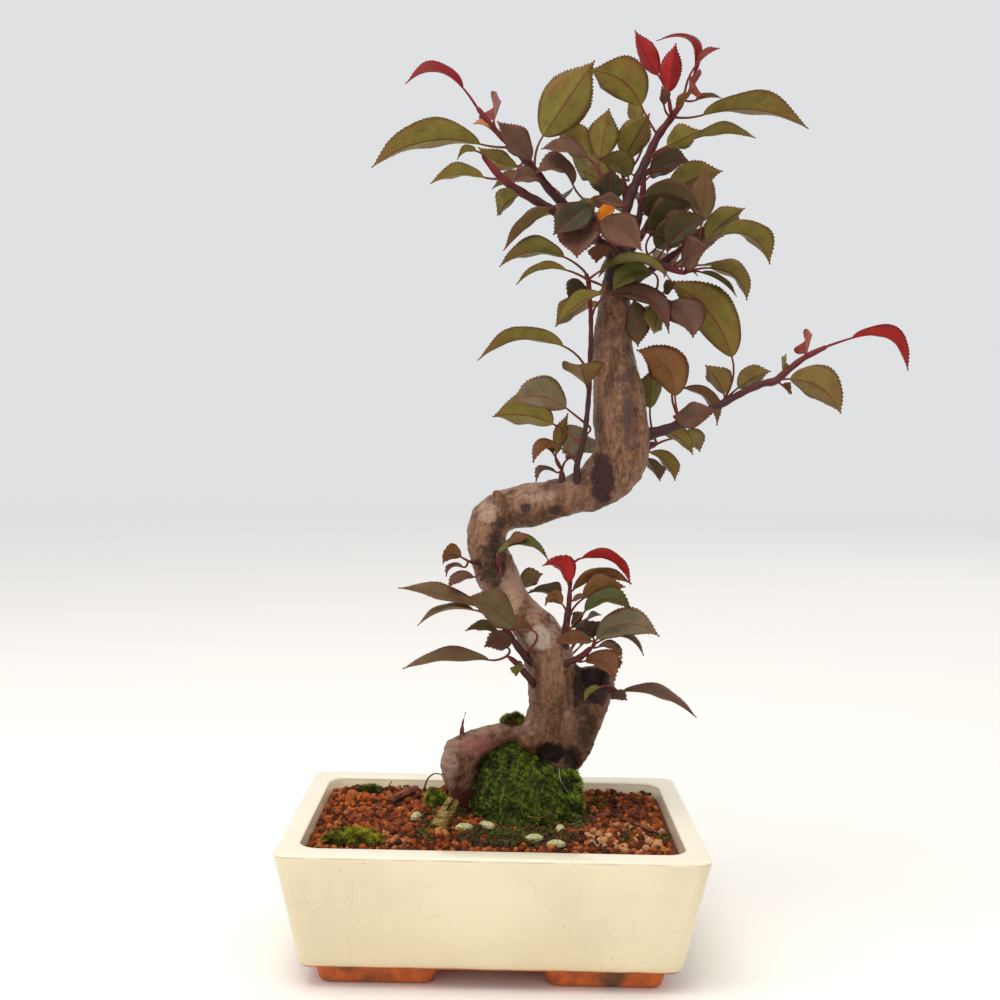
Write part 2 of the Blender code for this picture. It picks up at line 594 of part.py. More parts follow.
def boolean(made, other, kind):
    """Cuts or joins and bakes it in. A loose scrap or a sealed bubble is dropped."""
    cut = made.modifiers.new(kind.lower(), "BOOLEAN")
    cut.operation = kind
    if isinstance(other, bpy.types.Collection):
        cut.operand_type = "COLLECTION"
        cut.collection = other
    else:
        cut.object = other
    for cut.solver in ("EXACT", "MANIFOLD"):
        shape = evaluated_shape(made)
        if shape.faces and all(edge.is_manifold and edge.is_contiguous for edge in shape.edges):
            break
    for scrap in bodies(shape)[1:]:
        bmesh.ops.delete(shape, geom=list(scrap), context="FACES")
    return replaced(made, shape)


def swollen(made, by, name):
    """A copy of an object, grown by a distance along its normals, as a cutter."""
    copy = bpy.data.objects.new(name, made.data.copy())
    CUTTERS.objects.link(copy)
    swell = copy.modifiers.new("swell", "DISPLACE")
    swell.strength = by
    swell.mid_level = 0.0
    return cutter(baked(copy))


def finish(made, look):
    """Gives a finished piece its material and hangs it on the plant's stand."""
    made.data.materials.clear()
    made.data.materials.append(look)
    made.data.shade_smooth()
    made.data.set_sharp_from_angle(angle=math.radians(38))
    made.parent = STAND
    return made


def eye_axes():
    """The eye's right, up and forward directions."""
    forward = Vector((0.0, math.cos(EYE_PITCH), -math.sin(EYE_PITCH)))
    level = Vector((1.0, 0.0, 0.0))
    upright = level.cross(forward)
    right = level * math.cos(EYE_ROLL) + upright * math.sin(EYE_ROLL)
    up = upright * math.cos(EYE_ROLL) - level * math.sin(EYE_ROLL)
    return right, up, forward


EYE_RIGHT, EYE_UP, EYE_FORWARD = eye_axes()


def sight(x, y):
    """The line of sight of pixel x, y."""
    across = EYE_RIGHT * ((x - PICTURE_MIDDLE) / EYE_FOCAL)
    return EYE_FORWARD + across - EYE_UP * ((y - PICTURE_MIDDLE) / EYE_FOCAL)


def spot(x, y, depth):
    """The place seen at pixel x, y, at a depth in mm behind the middle of the tree."""
    ray = sight(x, y)
    return EYE + ray * (((depth + TREE_DEPTH) * MM - EYE.y) / ray.y)


def on_soil(x, y):
    """The place on top of the soil seen at pixel x, y."""
    ray = sight(x, y)
    return EYE + ray * ((SOIL_TOP - EYE.z) / ray.z)


def pixel_size(depth):
    """How long one pixel is at a depth."""
    return ((depth + TREE_DEPTH) * MM - EYE.y) / EYE_FOCAL


def smooth_path(points, step):
    """Points every step along a Catmull-Rom curve through the given points, each with a radius."""
    knots = [(spot(x, y, d), r * pixel_size(d)) for x, y, d, r in points]
    ends = [knots[0]] + knots + [knots[-1]]
    path = []
    for before, a, b, after in zip(ends, ends[1:], ends[2:], ends[3:]):
        count = max(1, round((b[0] - a[0]).length / step))
        for k in range(count):
            t = k / count
            place_at = 0.5 * (2 * a[0] + (b[0] - before[0]) * t
                              + (2 * before[0] - 5 * a[0] + 4 * b[0] - after[0]) * t * t
                              + (3 * a[0] - before[0] - 3 * b[0] + after[0]) * t ** 3)
            path.append((place_at, a[1] + (b[1] - a[1]) * (3 * t * t - 2 * t ** 3)))
    path.append(knots[-1])
    return path


def tube(name, path, sides, home):
    """A round tube through points with radii, as a bevelled curve made into a mesh."""
    curve = bpy.data.curves.new(name, "CURVE")
    curve.dimensions = "3D"
    curve.bevel_depth = 1.0
    curve.bevel_resolution = sides // 2 - 2
    curve.use_fill_caps = True
    spline = curve.splines.new("POLY")
    spline.points.add(len(path) - 1)
    for point, (where, radius) in zip(spline.points, path):
        point.co = (*where, 1.0)
        point.radius = radius
    made = bpy.data.objects.new(name, curve)
    home.objects.link(made)
    return baked(made)


# Pot, drain screens.
def rounded_block(shape, low, high, bottom, top, corner, edges, steps=4):
    """A block from z = low to high with half sizes bottom and top, its upright, low and top edges rounded."""
    bmesh.ops.create_cube(shape, size=2.0)
    for vert in shape.verts:
        half = top if vert.co.z > 0 else bottom
        vert.co = Vector((vert.co.x * half[0], vert.co.y * half[1], high if vert.co.z > 0 else low))
    upright = [e for e in shape.edges if abs(e.verts[0].co.z - e.verts[1].co.z) > 0.5 * (high - low)]
    bmesh.ops.bevel(shape, geom=upright, offset=corner, segments=steps, profile=0.5, affect="EDGES")
    for z, radius in zip((low, high), edges):
        flat = [e for e in shape.edges if all(abs(v.co.z - z) < WELD for v in e.verts)]
        bmesh.ops.bevel(shape, geom=flat, offset=radius, segments=steps // 2, profile=0.5, affect="EDGES")


def inner_half(z):
    """Half the inside width and depth of the pot at a height."""
    share = (z - FOOT_HEIGHT) / (POT_HEIGHT - FOOT_HEIGHT)
    width = BASE_WIDTH + (POT_WIDTH - BASE_WIDTH) * share
    depth = BASE_DEPTH + (POT_DEPTH - BASE_DEPTH) * share
    return width / 2 - SIDE_RIM, depth / 2 - FRONT_RIM


def make_pot():
    """The fired body with its four feet and two drain holes."""
    halves = (BASE_WIDTH / 2, BASE_DEPTH / 2), (POT_WIDTH / 2, POT_DEPTH / 2)
    edges = LOW_EDGE, TOP_EDGE
    pot = place("pot", lambda s: rounded_block(s, FOOT_HEIGHT, POT_HEIGHT, *halves, CORNER, edges))
    floor = FOOT_HEIGHT + FLOOR
    above = POT_HEIGHT + OVER_RIM
    inner = inner_half(floor), inner_half(above)
    hollow = place("pot_hollow", lambda s: rounded_block(
        s, floor, above, *inner, INNER_CORNER, (HOLLOW_EDGE, HOLLOW_EDGE)), CUTTERS)
    pot = boolean(pot, cutter(hollow), "DIFFERENCE")
    for side in (-1, 1):
        for end in (-1, 1):
            x = side * (BASE_WIDTH / 2 - FOOT_INSET - FOOT_LENGTH / 2)
            y = end * (BASE_DEPTH / 2 - FOOT_INSET - FOOT_WIDTH / 2)
            half = (FOOT_LENGTH / 2, FOOT_WIDTH / 2)
            less = (half[0] - FOOT_TAPER, half[1] - FOOT_TAPER)
            foot = place("foot", lambda s: rounded_block(
                s, 0.0, FOOT_HEIGHT + FOOT_SINK, less, half, CORNER, (FOOT_EDGE, SUNK_EDGE), steps=2), CUTTERS)
            foot.data.transform(Matrix.Translation((x, y, 0.0)))
            pot = boolean(pot, cutter(foot), "UNION")
            bpy.data.objects.remove(foot)
        drain = place("drain", lambda s: bmesh.ops.create_cone(
            s, cap_ends=True, segments=16, radius1=DRAIN_RADIUS, radius2=DRAIN_RADIUS, depth=DRAIN_LENGTH), CUTTERS)
        drain.data.transform(Matrix.Translation((side * DRAIN_X, 0.0, FOOT_HEIGHT)))
        pot = boolean(pot, cutter(drain), "DIFFERENCE")
    return finish(pot, material("cream_glaze", (0.80, 0.70, 0.50), 0.22))


def make_screen(name, x):
    """A plastic drain screen: a square plate with four square holes, flat over a drain hole."""
    def build(shape):
        bmesh.ops.create_grid(shape, x_segments=5, y_segments=5, size=SCREEN_SIDE / 2)
        near, far = (share * SCREEN_SIDE / 2 for share in SCREEN_HOLES)
        holes = [f for f in shape.faces if all(near < abs(c) < far for c in f.calc_center_median()[:2])]
        bmesh.ops.delete(shape, geom=holes, context="FACES")
        grown = bmesh.ops.extrude_face_region(shape, geom=shape.faces[:])
        lifted = [g for g in grown["geom"] if isinstance(g, bmesh.types.BMVert)]
        bmesh.ops.translate(shape, verts=lifted, vec=(0.0, 0.0, SCREEN_THICK))
        bmesh.ops.translate(shape, verts=shape.verts, vec=(x, 0.0, FOOT_HEIGHT + FLOOR + GAP))
    return finish(place(name, build), SCREEN_LOOK)


# Wood.
def weathered(made, amount):
    """Moves a wood mesh's points out and in: shallow flutes and knots, and the named lumps."""
    marks = [(spot(x, y, d), reach * MM, height * MM) for x, y, d, reach, height in LUMPS]
    along, sway, bend = FLUTE_ALONG
    across = Vector(FLUTE_ACROSS)
    for vert in made.data.vertices:
        p = vert.co
        flute = math.sin(p.z * along + sway * math.sin(p.x * bend)) * math.sin(across.dot(p))
        swell = amount * flute
        for centre, reach, height in marks:
            swell += height * math.exp(-((p - centre).length / reach) ** 2)
        vert.co = p + vert.normal * swell
    return made


def make_trunk():
    """Trunk, the root that arches to the left, the hollow cut limb and the small stubs, in one."""
    wood = tube("trunk", smooth_path(TRUNK, WOOD_STEP), TRUNK_SIDES, PLANT)
    limbs = collection("limbs")
    for points in (LEFT_LEG, CUT_LIMB, ROOT_FLARE):
        tube("limb", smooth_path(points, WOOD_STEP), LIMB_SIDES, limbs)
    wood = boolean(wood, limbs, "UNION")
    clear(limbs)
    remesh = wood.modifiers.new("skin", "REMESH")
    remesh.mode = "VOXEL"
    remesh.voxel_size = SKIN
    ease = wood.modifiers.new("ease", "SMOOTH")
    ease.factor = 0.5
    ease.iterations = SKIN_PASSES
    wood = baked(wood)
    wood = weathered(wood, FLUTE)
    wood.data.calc_loop_triangles()
    thin = wood.modifiers.new("thin", "DECIMATE")
    thin.ratio = TRUNK_TRIANGLES / len(wood.data.loop_triangles)
    wood = baked(wood)
    scoop = place("scoop", lambda s: bmesh.ops.create_uvsphere(
        s, u_segments=12, v_segments=8, radius=1.0), CUTTERS)
    place_at, sizes = SCOOP
    scoop.data.transform(Matrix.Translation(spot(*place_at)) @ Matrix.Rotation(SCOOP_LEAN, 4, "Y")
                         @ Matrix.Diagonal((*sizes, 1.0)))
    wood = boolean(wood, cutter(scoop), "DIFFERENCE")
    twigs = collection("stubs")
    for k, points in enumerate(STUBS):
        tube(f"stub_{k}", smooth_path(points, STUB_STEP), STUB_SIDES, twigs)
    wood = boolean(wood, twigs, "UNION")
    clear(twigs)
    return finish(wood, material("bark", BARK, 0.62))


def clear(group):
    """Removes a collection and what it holds."""
    for thing in list(group.objects):
        bpy.data.objects.remove(thing, do_unlink=True)
    bpy.data.collections.remove(group)


# Leaves.
class Leaf:
    """A stalk and a toothed blade, thin, arched along its rib and folded up on both sides of it."""

    def __init__(self, foot, base, tip, rise, wide, turn, fold):
        self.foot, self.base, self.tip = foot, base, tip
        self.wide, self.fold = wide, math.radians(fold)
        chord = (tip - base).normalized()
        to_eye = (EYE - base).normalized()
        if abs(chord.dot(to_eye)) < 0.9:
            front = (to_eye - chord * to_eye.dot(chord)).normalized()
            upper = chord.cross(front)
            if upper.z < 0 or (abs(upper.z) < 0.2 and upper.x < 0):
                upper.negate()
        else:
            upper = (Vector((0, 0, 1)) - chord * chord.z).normalized()
            front = chord.cross(upper)
        self.face = upper * math.cos(math.radians(turn)) + front * math.sin(math.radians(turn))
        self.bend = (base + tip) / 2 + upper * (2 * rise)
        outset = (self.bend - base).normalized() * (base - foot).length * 0.5
        self.knee = base - outset

    def rib(self, s):
        """Place and direction on the blade's rib, s from 0 at its base to 1 at its tip."""
        a, b, c = self.base, self.bend, self.tip
        where = a * (1 - s) ** 2 + b * (2 * s * (1 - s)) + c * s * s
        return where, ((b - a) * (1 - s) + (c - b) * s).normalized()

    def stalk(self, s):
        """Place and direction on the stalk, s from 0 in the stem to 1 at the blade."""
        a, b, c = self.foot, self.knee, self.base
        where = a * (1 - s) ** 2 + b * (2 * s * (1 - s)) + c * s * s
        return where, ((b - a) * (1 - s) + (c - b) * s).normalized()

    def axes(self, along):
        normal = (self.face - along * self.face.dot(along)).normalized()
        return along.cross(normal), normal

    def half_width(self, s):
        """An apple leaf's outline: widest before the middle, drawn out to a point.

        Half the width times sin(pi s^peak)^(blunt + point s)."""
        peak, blunt, point = OUTLINE
        return 0.5 * self.wide * math.sin(math.pi * s ** peak) ** (blunt + point * s)

    def edge(self, s, side, share):
        where, along = self.rib(s)
        across, normal = self.axes(along)
        half = max(self.half_width(s) * share, STALK_RADIUS)
        out = across * (side * half * math.cos(self.fold))
        return where + out + normal * (half * math.sin(self.fold)), normal

    def mesh(self, extra=0.0, with_stalk=True):
        """Points and triangles of the closed leaf. extra thickens it all round."""
        length = (self.tip - self.base).length
        teeth = 3 if length > LONG_BLADE else 2
        ribs = teeth - 1
        bends = (0.0, 0.5, 1.0) if (self.base - self.foot).length > LONG_STALK else (0.0, 1.0)
        points, faces = [], []

        def add(point):
            points.append(point)
            return len(points) - 1

        rings = []
        for s in (bends if with_stalk else (1.0,)):
            where, along = self.stalk(s)
            across, normal = self.axes(along)
            r = STALK_RADIUS + extra
            rings.append([add(where + out * r) for out in (normal, across, -normal, -across)])
        for a, b in zip(rings, rings[1:]):
            for k in range(4):
                m = (k + 1) % 4
                faces += [(a[k], a[m], b[m]), (a[k], b[m], b[k])]
        first, last = rings[0], rings[-1]
        faces += [(first[0], first[2], first[1]), (first[0], first[3], first[2])]
        tip = add(self.tip)
        up, down = [(0.0, last[0])], [(0.0, last[2])]
        for k in range(ribs):
            s = (k + 1) / (ribs + 1)
            where, along = self.rib(s)
            normal = self.axes(along)[1]
            up.append((s, add(where + normal * (RIB_UP + extra))))
            down.append((s, add(where - normal * (RIB_DOWN + extra))))
        up.append((1.0, tip))
        down.append((1.0, tip))
        for side, start in ((1, last[1]), (-1, last[3])):
            step = TEETH_RUN / teeth
            above, below = [(0.0, start)], [(0.0, start)]
            for k in range(teeth):
                s = TEETH_FROM + k * step
                where, normal = self.edge(s, side, NOTCH if k else FIRST_NOTCH)
                above.append((s, add(where + normal * (BLADE_HALF + extra))))
                below.append((s, add(where - normal * (BLADE_HALF + extra))))
                s += TOOTH_AT * step
                where, normal = self.edge(s, side, TOOTH)
                where += self.rib(s)[1] * (TOOTH_LEAN * step * length)
                point = add(where)
                above.append((s, point))
                below.append((s, point))
            above.append((1.0, tip))
            below.append((1.0, tip))
            faces += self.strip(up, above, side > 0)
            faces += self.strip(down, below, side < 0)
            for a, b, c, d in zip(above, above[1:], below, below[1:]):
                rim = [(a[1], b[1], d[1]), (a[1], d[1], c[1])]
                rim = [f if side < 0 else f[::-1] for f in rim]
                faces += [f for f in rim if len(set(f)) == 3]
        return points, faces

    def build(self, shape):
        """Fills a bmesh with the leaf."""
        points, faces = self.mesh()
        corners = [shape.verts.new(p) for p in points]
        for face in faces:
            shape.faces.new([corners[k] for k in face])

    @staticmethod
    def strip(rib, edge, flip):
        """Triangles between the rib's points and the edge's, in step along the leaf."""
        made, i, j = [], 0, 0
        while i < len(rib) - 1 or j < len(edge) - 1:
            if i == len(rib) - 2 and j == len(edge) - 2:
                made.append((rib[i][1], edge[j][1], rib[i + 1][1]))
                break
            if j == len(edge) - 2 or (i < len(rib) - 2 and rib[i + 1][0] <= edge[j + 1][0]):
                made.append((rib[i][1], edge[j][1], rib[i + 1][1]))
                i += 1
            else:
                made.append((rib[i][1], edge[j][1], edge[j + 1][1]))
                j += 1
        return [f[::-1] if flip else f for f in made]


def depth_shifts():
    """How far a leaf is turned in depth at its tip and its base, from none outwards, in mm."""
    steps = [(0, 0)]
    for reach in (5, 9, 13, 18, 23, 29):
        for base in (0, 0.4, 0.9):
            steps += [(-reach, -reach * base), (reach, reach * base)]
    return steps


def deepest(path, where):
    """The point of a stem's path that is nearest a place seen from the eye."""
    ray = (where - EYE).normalized()
    return min(path, key=lambda p: (p[0] - EYE - ray * (p[0] - EYE).dot(ray)).length)[0]


class Thicket:
    """What is placed so far, so that a new leaf can be bent clear of it."""

    def __init__(self):
        self.trees = []

    def add(self, owner, part, points, faces):
        self.trees.append((owner, part, BVHTree.FromPolygons(points, faces)))

    def meets(self, owner, blade, whole):
        for who, part, tree in self.trees:
            if who == owner:
                if part == "blade" and blade.overlap(tree):
                    return True
            elif whole.overlap(tree):
                return True
        return False


def leaf_fits(thicket, owner, leaf):
    """Whether a leaf crosses neither itself nor what is placed before it."""
    points, faces = leaf.mesh()
    whole = BVHTree.FromPolygons(points, faces)
    if any(not set(faces[a]) & set(faces[b]) for a, b in whole.overlap(whole)):
        return False
    blade = BVHTree.FromPolygons(*leaf.mesh(with_stalk=False))
    return not thicket.meets(owner, blade, whole)


def keep(thicket, owner, leaf):
    thicket.add(owner, "blade", *leaf.mesh(LEAF_ROOM, with_stalk=False))
    thicket.add(owner, "stalk", *leaf.mesh(LEAF_ROOM))


def pictured_leaves(name, plan, thicket):
    """The leaves of one stem, each turned in depth along its line of sight until it is clear."""
    path = smooth_path(plan["stem"], SEARCH_STEP)
    placed = []
    for foot, base, tip, base_depth, tip_depth, rise, wide, turn, fold in plan["leaves"]:
        root = deepest(path, spot(*foot, 0))
        for to_tip, to_base in depth_shifts():
            leaf = Leaf(root, spot(*base, base_depth + to_base), spot(*tip, tip_depth + to_tip),
                        rise * MM, wide * MM, turn, fold)
            if leaf_fits(thicket, name, leaf):
                break
        else:
            print("no clear place for", name, base, tip)
            continue
        keep(thicket, name, leaf)
        placed.append(leaf)
    return placed


def hidden_leaves(name, points, count, long, thicket):
    """Leaves round a stem at the back, each a golden angle on, arched out and down."""
    path = smooth_path(points, SEARCH_STEP)
    chance = random.Random(name)
    placed = []
    for k in range(count):
        share = BACK_FROM + (1 - BACK_FROM) * (k + 0.5) / count
        root = path[min(len(path) - 1, round(share * (len(path) - 1)))][0]
        for attempt in range(TRIES):
            angle = k * GOLDEN_ANGLE + attempt * TRY_TURN
            back = BACK_AWAY[0] + BACK_AWAY[1] * abs(math.sin(angle))
            away = Vector((math.cos(angle), back, 0.0)).normalized()
            lift = chance.uniform(*BACK_LIFT)
            length = long * MM * chance.uniform(*BACK_LENGTH)
            base = root + (away + Vector((0, 0, STALK_RISE + lift))).normalized() * BACK_STALK
            tip = base + (away + Vector((0, 0, lift - BLADE_DROOP))).normalized() * length
            turn = chance.uniform(*BACK_TURN)
            leaf = Leaf(root, base, tip, length * BACK_ARCH, length * BACK_WIDTH, turn, BACK_FOLD)
            if tip.y > BACK_NEAREST and leaf_fits(thicket, name, leaf):
                keep(thicket, name, leaf)
                placed.append(leaf)
                break
    return placed


def stem_points():
    """The name and the points of every leafy stem."""
    pictured = [(name, plan["stem"]) for name, plan in SHOOTS.items()]
    return pictured + [(name, plan[0]) for name, plan in BACK_SHOOTS.items()]


def make_stem(name, points, thicket):
    """The wood of one leafy stem, with room kept round it."""
    path = smooth_path(points, STEM_STEP)
    wide = tube(name + "_room", [(p, r + STEM_ROOM) for p, r in path], STEM_SIDES, CUTTERS)
    corners = [v.co.copy() for v in wide.data.vertices]
    thicket.add(name, "stem", corners, [tuple(p.vertices) for p in wide.data.polygons])
    bpy.data.objects.remove(wide)
    return tube(name, path, STEM_SIDES, PLANT)


def make_shoot(stem, leaves, look, wood_cut):
    """A stem with its leaves sunk in it, joined by one union, then cut clear of the trunk."""
    group = collection("leaves")
    for leaf in leaves:
        place("leaf", leaf.build, group)
    stem = boolean(stem, group, "UNION")
    clear(group)
    stem = boolean(stem, wood_cut, "DIFFERENCE")
    return finish(stem, look)


# Ground.
def moss_floor(x, y):
    """Whether the soil is smooth here, because moss lies on it."""
    for (px, py), rx, ry, *_ in MOSS.values():
        middle = on_soil(px, py)
        if ((x - middle.x) / (rx + MOSS_MARGIN)) ** 2 + ((y - middle.y) / (ry + MOSS_MARGIN)) ** 2 < 1:
            return True
    return False


def make_soil(cutters):
    """The filled inside of the pot, its top a relief of grains, with larger stones sunk in."""
    chance = random.Random(7)
    top = inner_half(SOIL_TOP - SOIL_DIP)
    floor = FOOT_HEIGHT + FLOOR + GAP
    foot = inner_half(floor)

    def build(shape):
        bmesh.ops.create_grid(shape, x_segments=SOIL_CELLS[0], y_segments=SOIL_CELLS[1], size=1.0)
        for vert in shape.verts:
            x, y = vert.co.x * (top[0] - GAP), vert.co.y * (top[1] - GAP)
            dx = max(abs(x) - (top[0] - GAP - INNER_CORNER), 0.0)
            dy = max(abs(y) - (top[1] - GAP - INNER_CORNER), 0.0)
            far = math.hypot(dx, dy)
            if far > INNER_CORNER:
                x -= math.copysign(dx * (1 - INNER_CORNER / far), x)
                y -= math.copysign(dy * (1 - INNER_CORNER / far), y)
            edge = max(abs(vert.co.x), abs(vert.co.y)) > 1 - WELD
            grain = chance.uniform(-1, 1) * GRAIN
            z = SOIL_TOP - (SOIL_DIP if edge else 0.0)
            vert.co = Vector((x, y, z if edge or moss_floor(x, y) else z + grain))
        rim = [e for e in shape.edges if e.is_boundary]
        grown = bmesh.ops.extrude_edge_only(shape, edges=rim)
        low = [g for g in grown["geom"] if isinstance(g, bmesh.types.BMVert)]
        for vert in low:
            vert.co.x *= (foot[0] - HOLLOW_EDGE) / (top[0] - GAP)
            vert.co.y *= (foot[1] - HOLLOW_EDGE) / (top[1] - GAP)
            vert.co.z = floor + SOIL_LIFT
        bmesh.ops.contextual_create(shape, geom=low + [e for e in shape.edges if e.is_boundary])

    soil = place("soil", build)
    stones = collection("stones")
    for k in range(LOOSE_STONES):
        spread = (top[0] - LOOSE_MARGIN[0], top[1] - LOOSE_MARGIN[1])
        x, y = chance.uniform(-spread[0], spread[0]), chance.uniform(-spread[1], spread[1])
        if moss_floor(x, y):
            continue
        size = chance.uniform(*LOOSE_SIZES)
        place_stone(stones, f"stone_{k}", x, y, size, chance)
    for px, py, size in STONES:
        middle = on_soil(px, py)
        place_stone(stones, "pebble", middle.x, middle.y, size * MM, chance)
    soil = boolean(soil, stones, "UNION")
    clear(stones)
    for cut in cutters + [screen_room(-DRAIN_X), screen_room(DRAIN_X)]:
        soil = boolean(soil, cut, "DIFFERENCE")
    return finish(soil, material("akadama", (0.30, 0.12, 0.06), 0.9))


def screen_room(x):
    """The pocket in the soil's underside that a drain screen lies in."""
    half = SCREEN_SIDE / 2 + GAP
    top = FOOT_HEIGHT + FLOOR + SCREEN_THICK + 2 * GAP
    room = place("screen_room", lambda s: bmesh.ops.create_cube(s, size=2.0), CUTTERS)
    room.data.transform(Matrix.Translation((x, 0.0, top - half)) @ Matrix.Diagonal((half, half, half, 1.0)))
    return cutter(room)


def place_stone(group, name, x, y, size, chance):
    turn = Matrix.Rotation(chance.uniform(0, FULL_TURN), 4, "Z") @ Matrix.Rotation(chance.uniform(0, 1), 4, "X")
    shape = Matrix.Diagonal((*[size * share for share in STONE_SHAPE], 1.0))
    stone = place(name, lambda s: bmesh.ops.create_icosphere(s, subdivisions=1, radius=1.0), group)
    stone.data.transform(Matrix.Translation((x, y, SOIL_TOP)) @ turn @ shape)


def moss_hill(name, wood_cut, slope=(0.0, 0.0)):
    """A cushion of moss: a flat-based dome with tufts raised on it, cut clear of the wood."""
    (px, py), rx, ry, height, sides = MOSS[name]
    cx, cy, _ = on_soil(px, py)

    def build(shape):
        bmesh.ops.create_uvsphere(shape, u_segments=sides, v_segments=sides, radius=1.0)
        bmesh.ops.bisect_plane(shape, geom=shape.verts[:] + shape.edges[:] + shape.faces[:],
                               plane_co=(0, 0, DOME_CUT), plane_no=(0, 0, 1), clear_inner=True)
        bmesh.ops.contextual_create(shape, geom=[e for e in shape.edges if e.is_boundary])
        for vert in shape.verts:
            x, y, z = vert.co
            wave = math.sin(9 * x + 4 * y) * math.sin(8 * y + 5 * z + 1)
            tuft = 1 + TUFT_RISE * wave if z > TUFTS_FROM else 1.0
            rise = max(z - DOME_CUT, 0.0) ** DOME_POWER * tuft * (1 + slope[0] * x + slope[1] * y)
            vert.co = Vector((cx + x * rx, cy + y * ry, SOIL_TOP + GAP + rise * height))

    hill = place(name, build)
    if wood_cut:
        hill = boolean(hill, wood_cut, "DIFFERENCE")
    return finish(hill, MOSS_LOOK)


def moss_on_joint(name, wood_cut):
    """The moss that grows on the joint of the trunk and the arched root, cut clear of the wood."""
    place_at, sizes = JOINT_MOSS
    patch = place(name, lambda s: bmesh.ops.create_icosphere(s, subdivisions=2, radius=1.0))
    shape = Matrix.Diagonal((*[r * MM for r in sizes], 1.0))
    patch.data.transform(Matrix.Translation(spot(*place_at)) @ shape)
    return finish(boolean(patch, wood_cut, "DIFFERENCE"), MOSS_LOOK)


def make_split_root():
    """The straw-coloured stub of a dead root, split in two along its grain."""
    low, high = on_soil(*SPLIT_ROOT[0]), spot(*SPLIT_ROOT[1])
    path = list(zip((low, (low + high) / 2, high), SPLIT_RADII))
    root = tube("split_root", path, STUB_SIDES, PLANT)
    split = place("split", lambda s: bmesh.ops.create_cube(s, size=1.0), CUTTERS)
    along = (high - low).normalized().to_track_quat("Z", "Y").to_matrix().to_4x4()
    split.data.transform(Matrix.Translation(high) @ along @ Matrix.Rotation(SPLIT_TURN, 4, "Z")
                         @ Matrix.Diagonal((*SPLIT_SIZES, 1.0)))
    root = boolean(root, cutter(split), "DIFFERENCE")
    return finish(root, material("dead_wood", (0.42, 0.28, 0.11), 0.8))


def make_dead_root(name):
    """A thin dead root that lies across the soil."""
    pixels, radius = DEAD_ROOTS[name]
    path = [(on_soil(*pixel) + Vector((0.0, 0.0, radius * MM + ROOT_LIFT)), radius * MM) for pixel in pixels]
    return finish(tube(name, path, STEM_SIDES, PLANT), ROOT_LOOK)


def make_pellet(name, px, py, turn):
    """One grain of pressed fertiliser, a short rounded rod."""
    def build(shape):
        bmesh.ops.create_uvsphere(shape, u_segments=8, v_segments=5, radius=1.0)
        lift = Matrix.Translation((0.0, 0.0, PELLET_LIFT))
        spin = Matrix.Rotation(math.radians(turn), 4, "Z")
        at = Matrix.Translation(on_soil(px, py))
        bmesh.ops.transform(shape, verts=shape.verts, matrix=at @ lift @ spin @ Matrix.Diagonal(PELLET_SIZES))
    return finish(place(name, build), PELLET_LOOK)


ROOT_LOOK = material("root", (0.16, 0.09, 0.06), 0.7)
SCREEN_LOOK = material("black_plastic", (0.02, 0.02, 0.02), 0.5)
MOSS_LOOK = material("moss", (0.06, 0.12, 0.01), 0.95)
PELLET_LOOK = material("fertiliser", (0.55, 0.55, 0.32), 0.8)
LEAF_LOOK = material("leaf", GREEN, 0.5)

make_pot()
make_screen("drain_screen_left", -DRAIN_X)
make_screen("drain_screen_right", DRAIN_X)
trunk = make_trunk()
wood_cut = swollen(trunk, ROOM, "trunk_room")
thicket = Thicket()
corners = [v.co.copy() for v in wood_cut.data.vertices]
thicket.add("trunk", "wood", corners, [tuple(p.vertices) for p in wood_cut.data.polygons])
stems = {name: make_stem(name, points, thicket) for name, points in stem_points()}
for name, plan in SHOOTS.items():
    make_shoot(stems[name], pictured_leaves(name, plan, thicket), LEAF_LOOK, wood_cut)
for name, plan in BACK_SHOOTS.items():
    make_shoot(stems[name], hidden_leaves(name, *plan, thicket), LEAF_LOOK, wood_cut)
split_root = make_split_root()
dead_roots = [make_dead_root(name) for name in DEAD_ROOTS]
pellets = [make_pellet(f"fertiliser_grain_{k + 1}", *row) for k, row in enumerate(PELLETS)]
moss_hill("moss_mound", wood_cut, MOUND_SLOPE)
moss_hill("moss_cushion_front", None)
moss_hill("moss_cushion_back", None)
moss_hill("moss_cushion_leg", wood_cut)
moss_on_joint("moss_cushion_joint", wood_cut)
lying = [split_root] + dead_roots + pellets
make_soil([wood_cut] + [swollen(thing, ROOM, thing.name + "_room") for thing in lying])
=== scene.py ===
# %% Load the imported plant
import math
import random

import bmesh
import bpy
import numpy as np
from mathutils import Matrix, Vector
from mathutils.bvhtree import BVHTree


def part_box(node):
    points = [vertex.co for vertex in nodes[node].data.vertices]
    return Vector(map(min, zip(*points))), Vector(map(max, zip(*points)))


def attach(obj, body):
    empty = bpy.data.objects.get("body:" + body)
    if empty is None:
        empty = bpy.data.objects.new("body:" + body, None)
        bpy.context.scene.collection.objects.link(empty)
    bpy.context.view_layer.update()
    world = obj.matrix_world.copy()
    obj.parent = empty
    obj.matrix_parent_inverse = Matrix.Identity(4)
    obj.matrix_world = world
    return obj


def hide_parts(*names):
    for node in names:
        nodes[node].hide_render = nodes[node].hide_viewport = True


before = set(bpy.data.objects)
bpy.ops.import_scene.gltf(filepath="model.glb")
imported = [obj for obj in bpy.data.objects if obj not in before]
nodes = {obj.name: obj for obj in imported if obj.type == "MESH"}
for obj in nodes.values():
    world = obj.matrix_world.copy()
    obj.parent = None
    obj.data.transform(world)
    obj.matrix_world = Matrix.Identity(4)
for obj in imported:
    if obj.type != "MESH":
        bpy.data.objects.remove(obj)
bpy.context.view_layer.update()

MM = 0.001

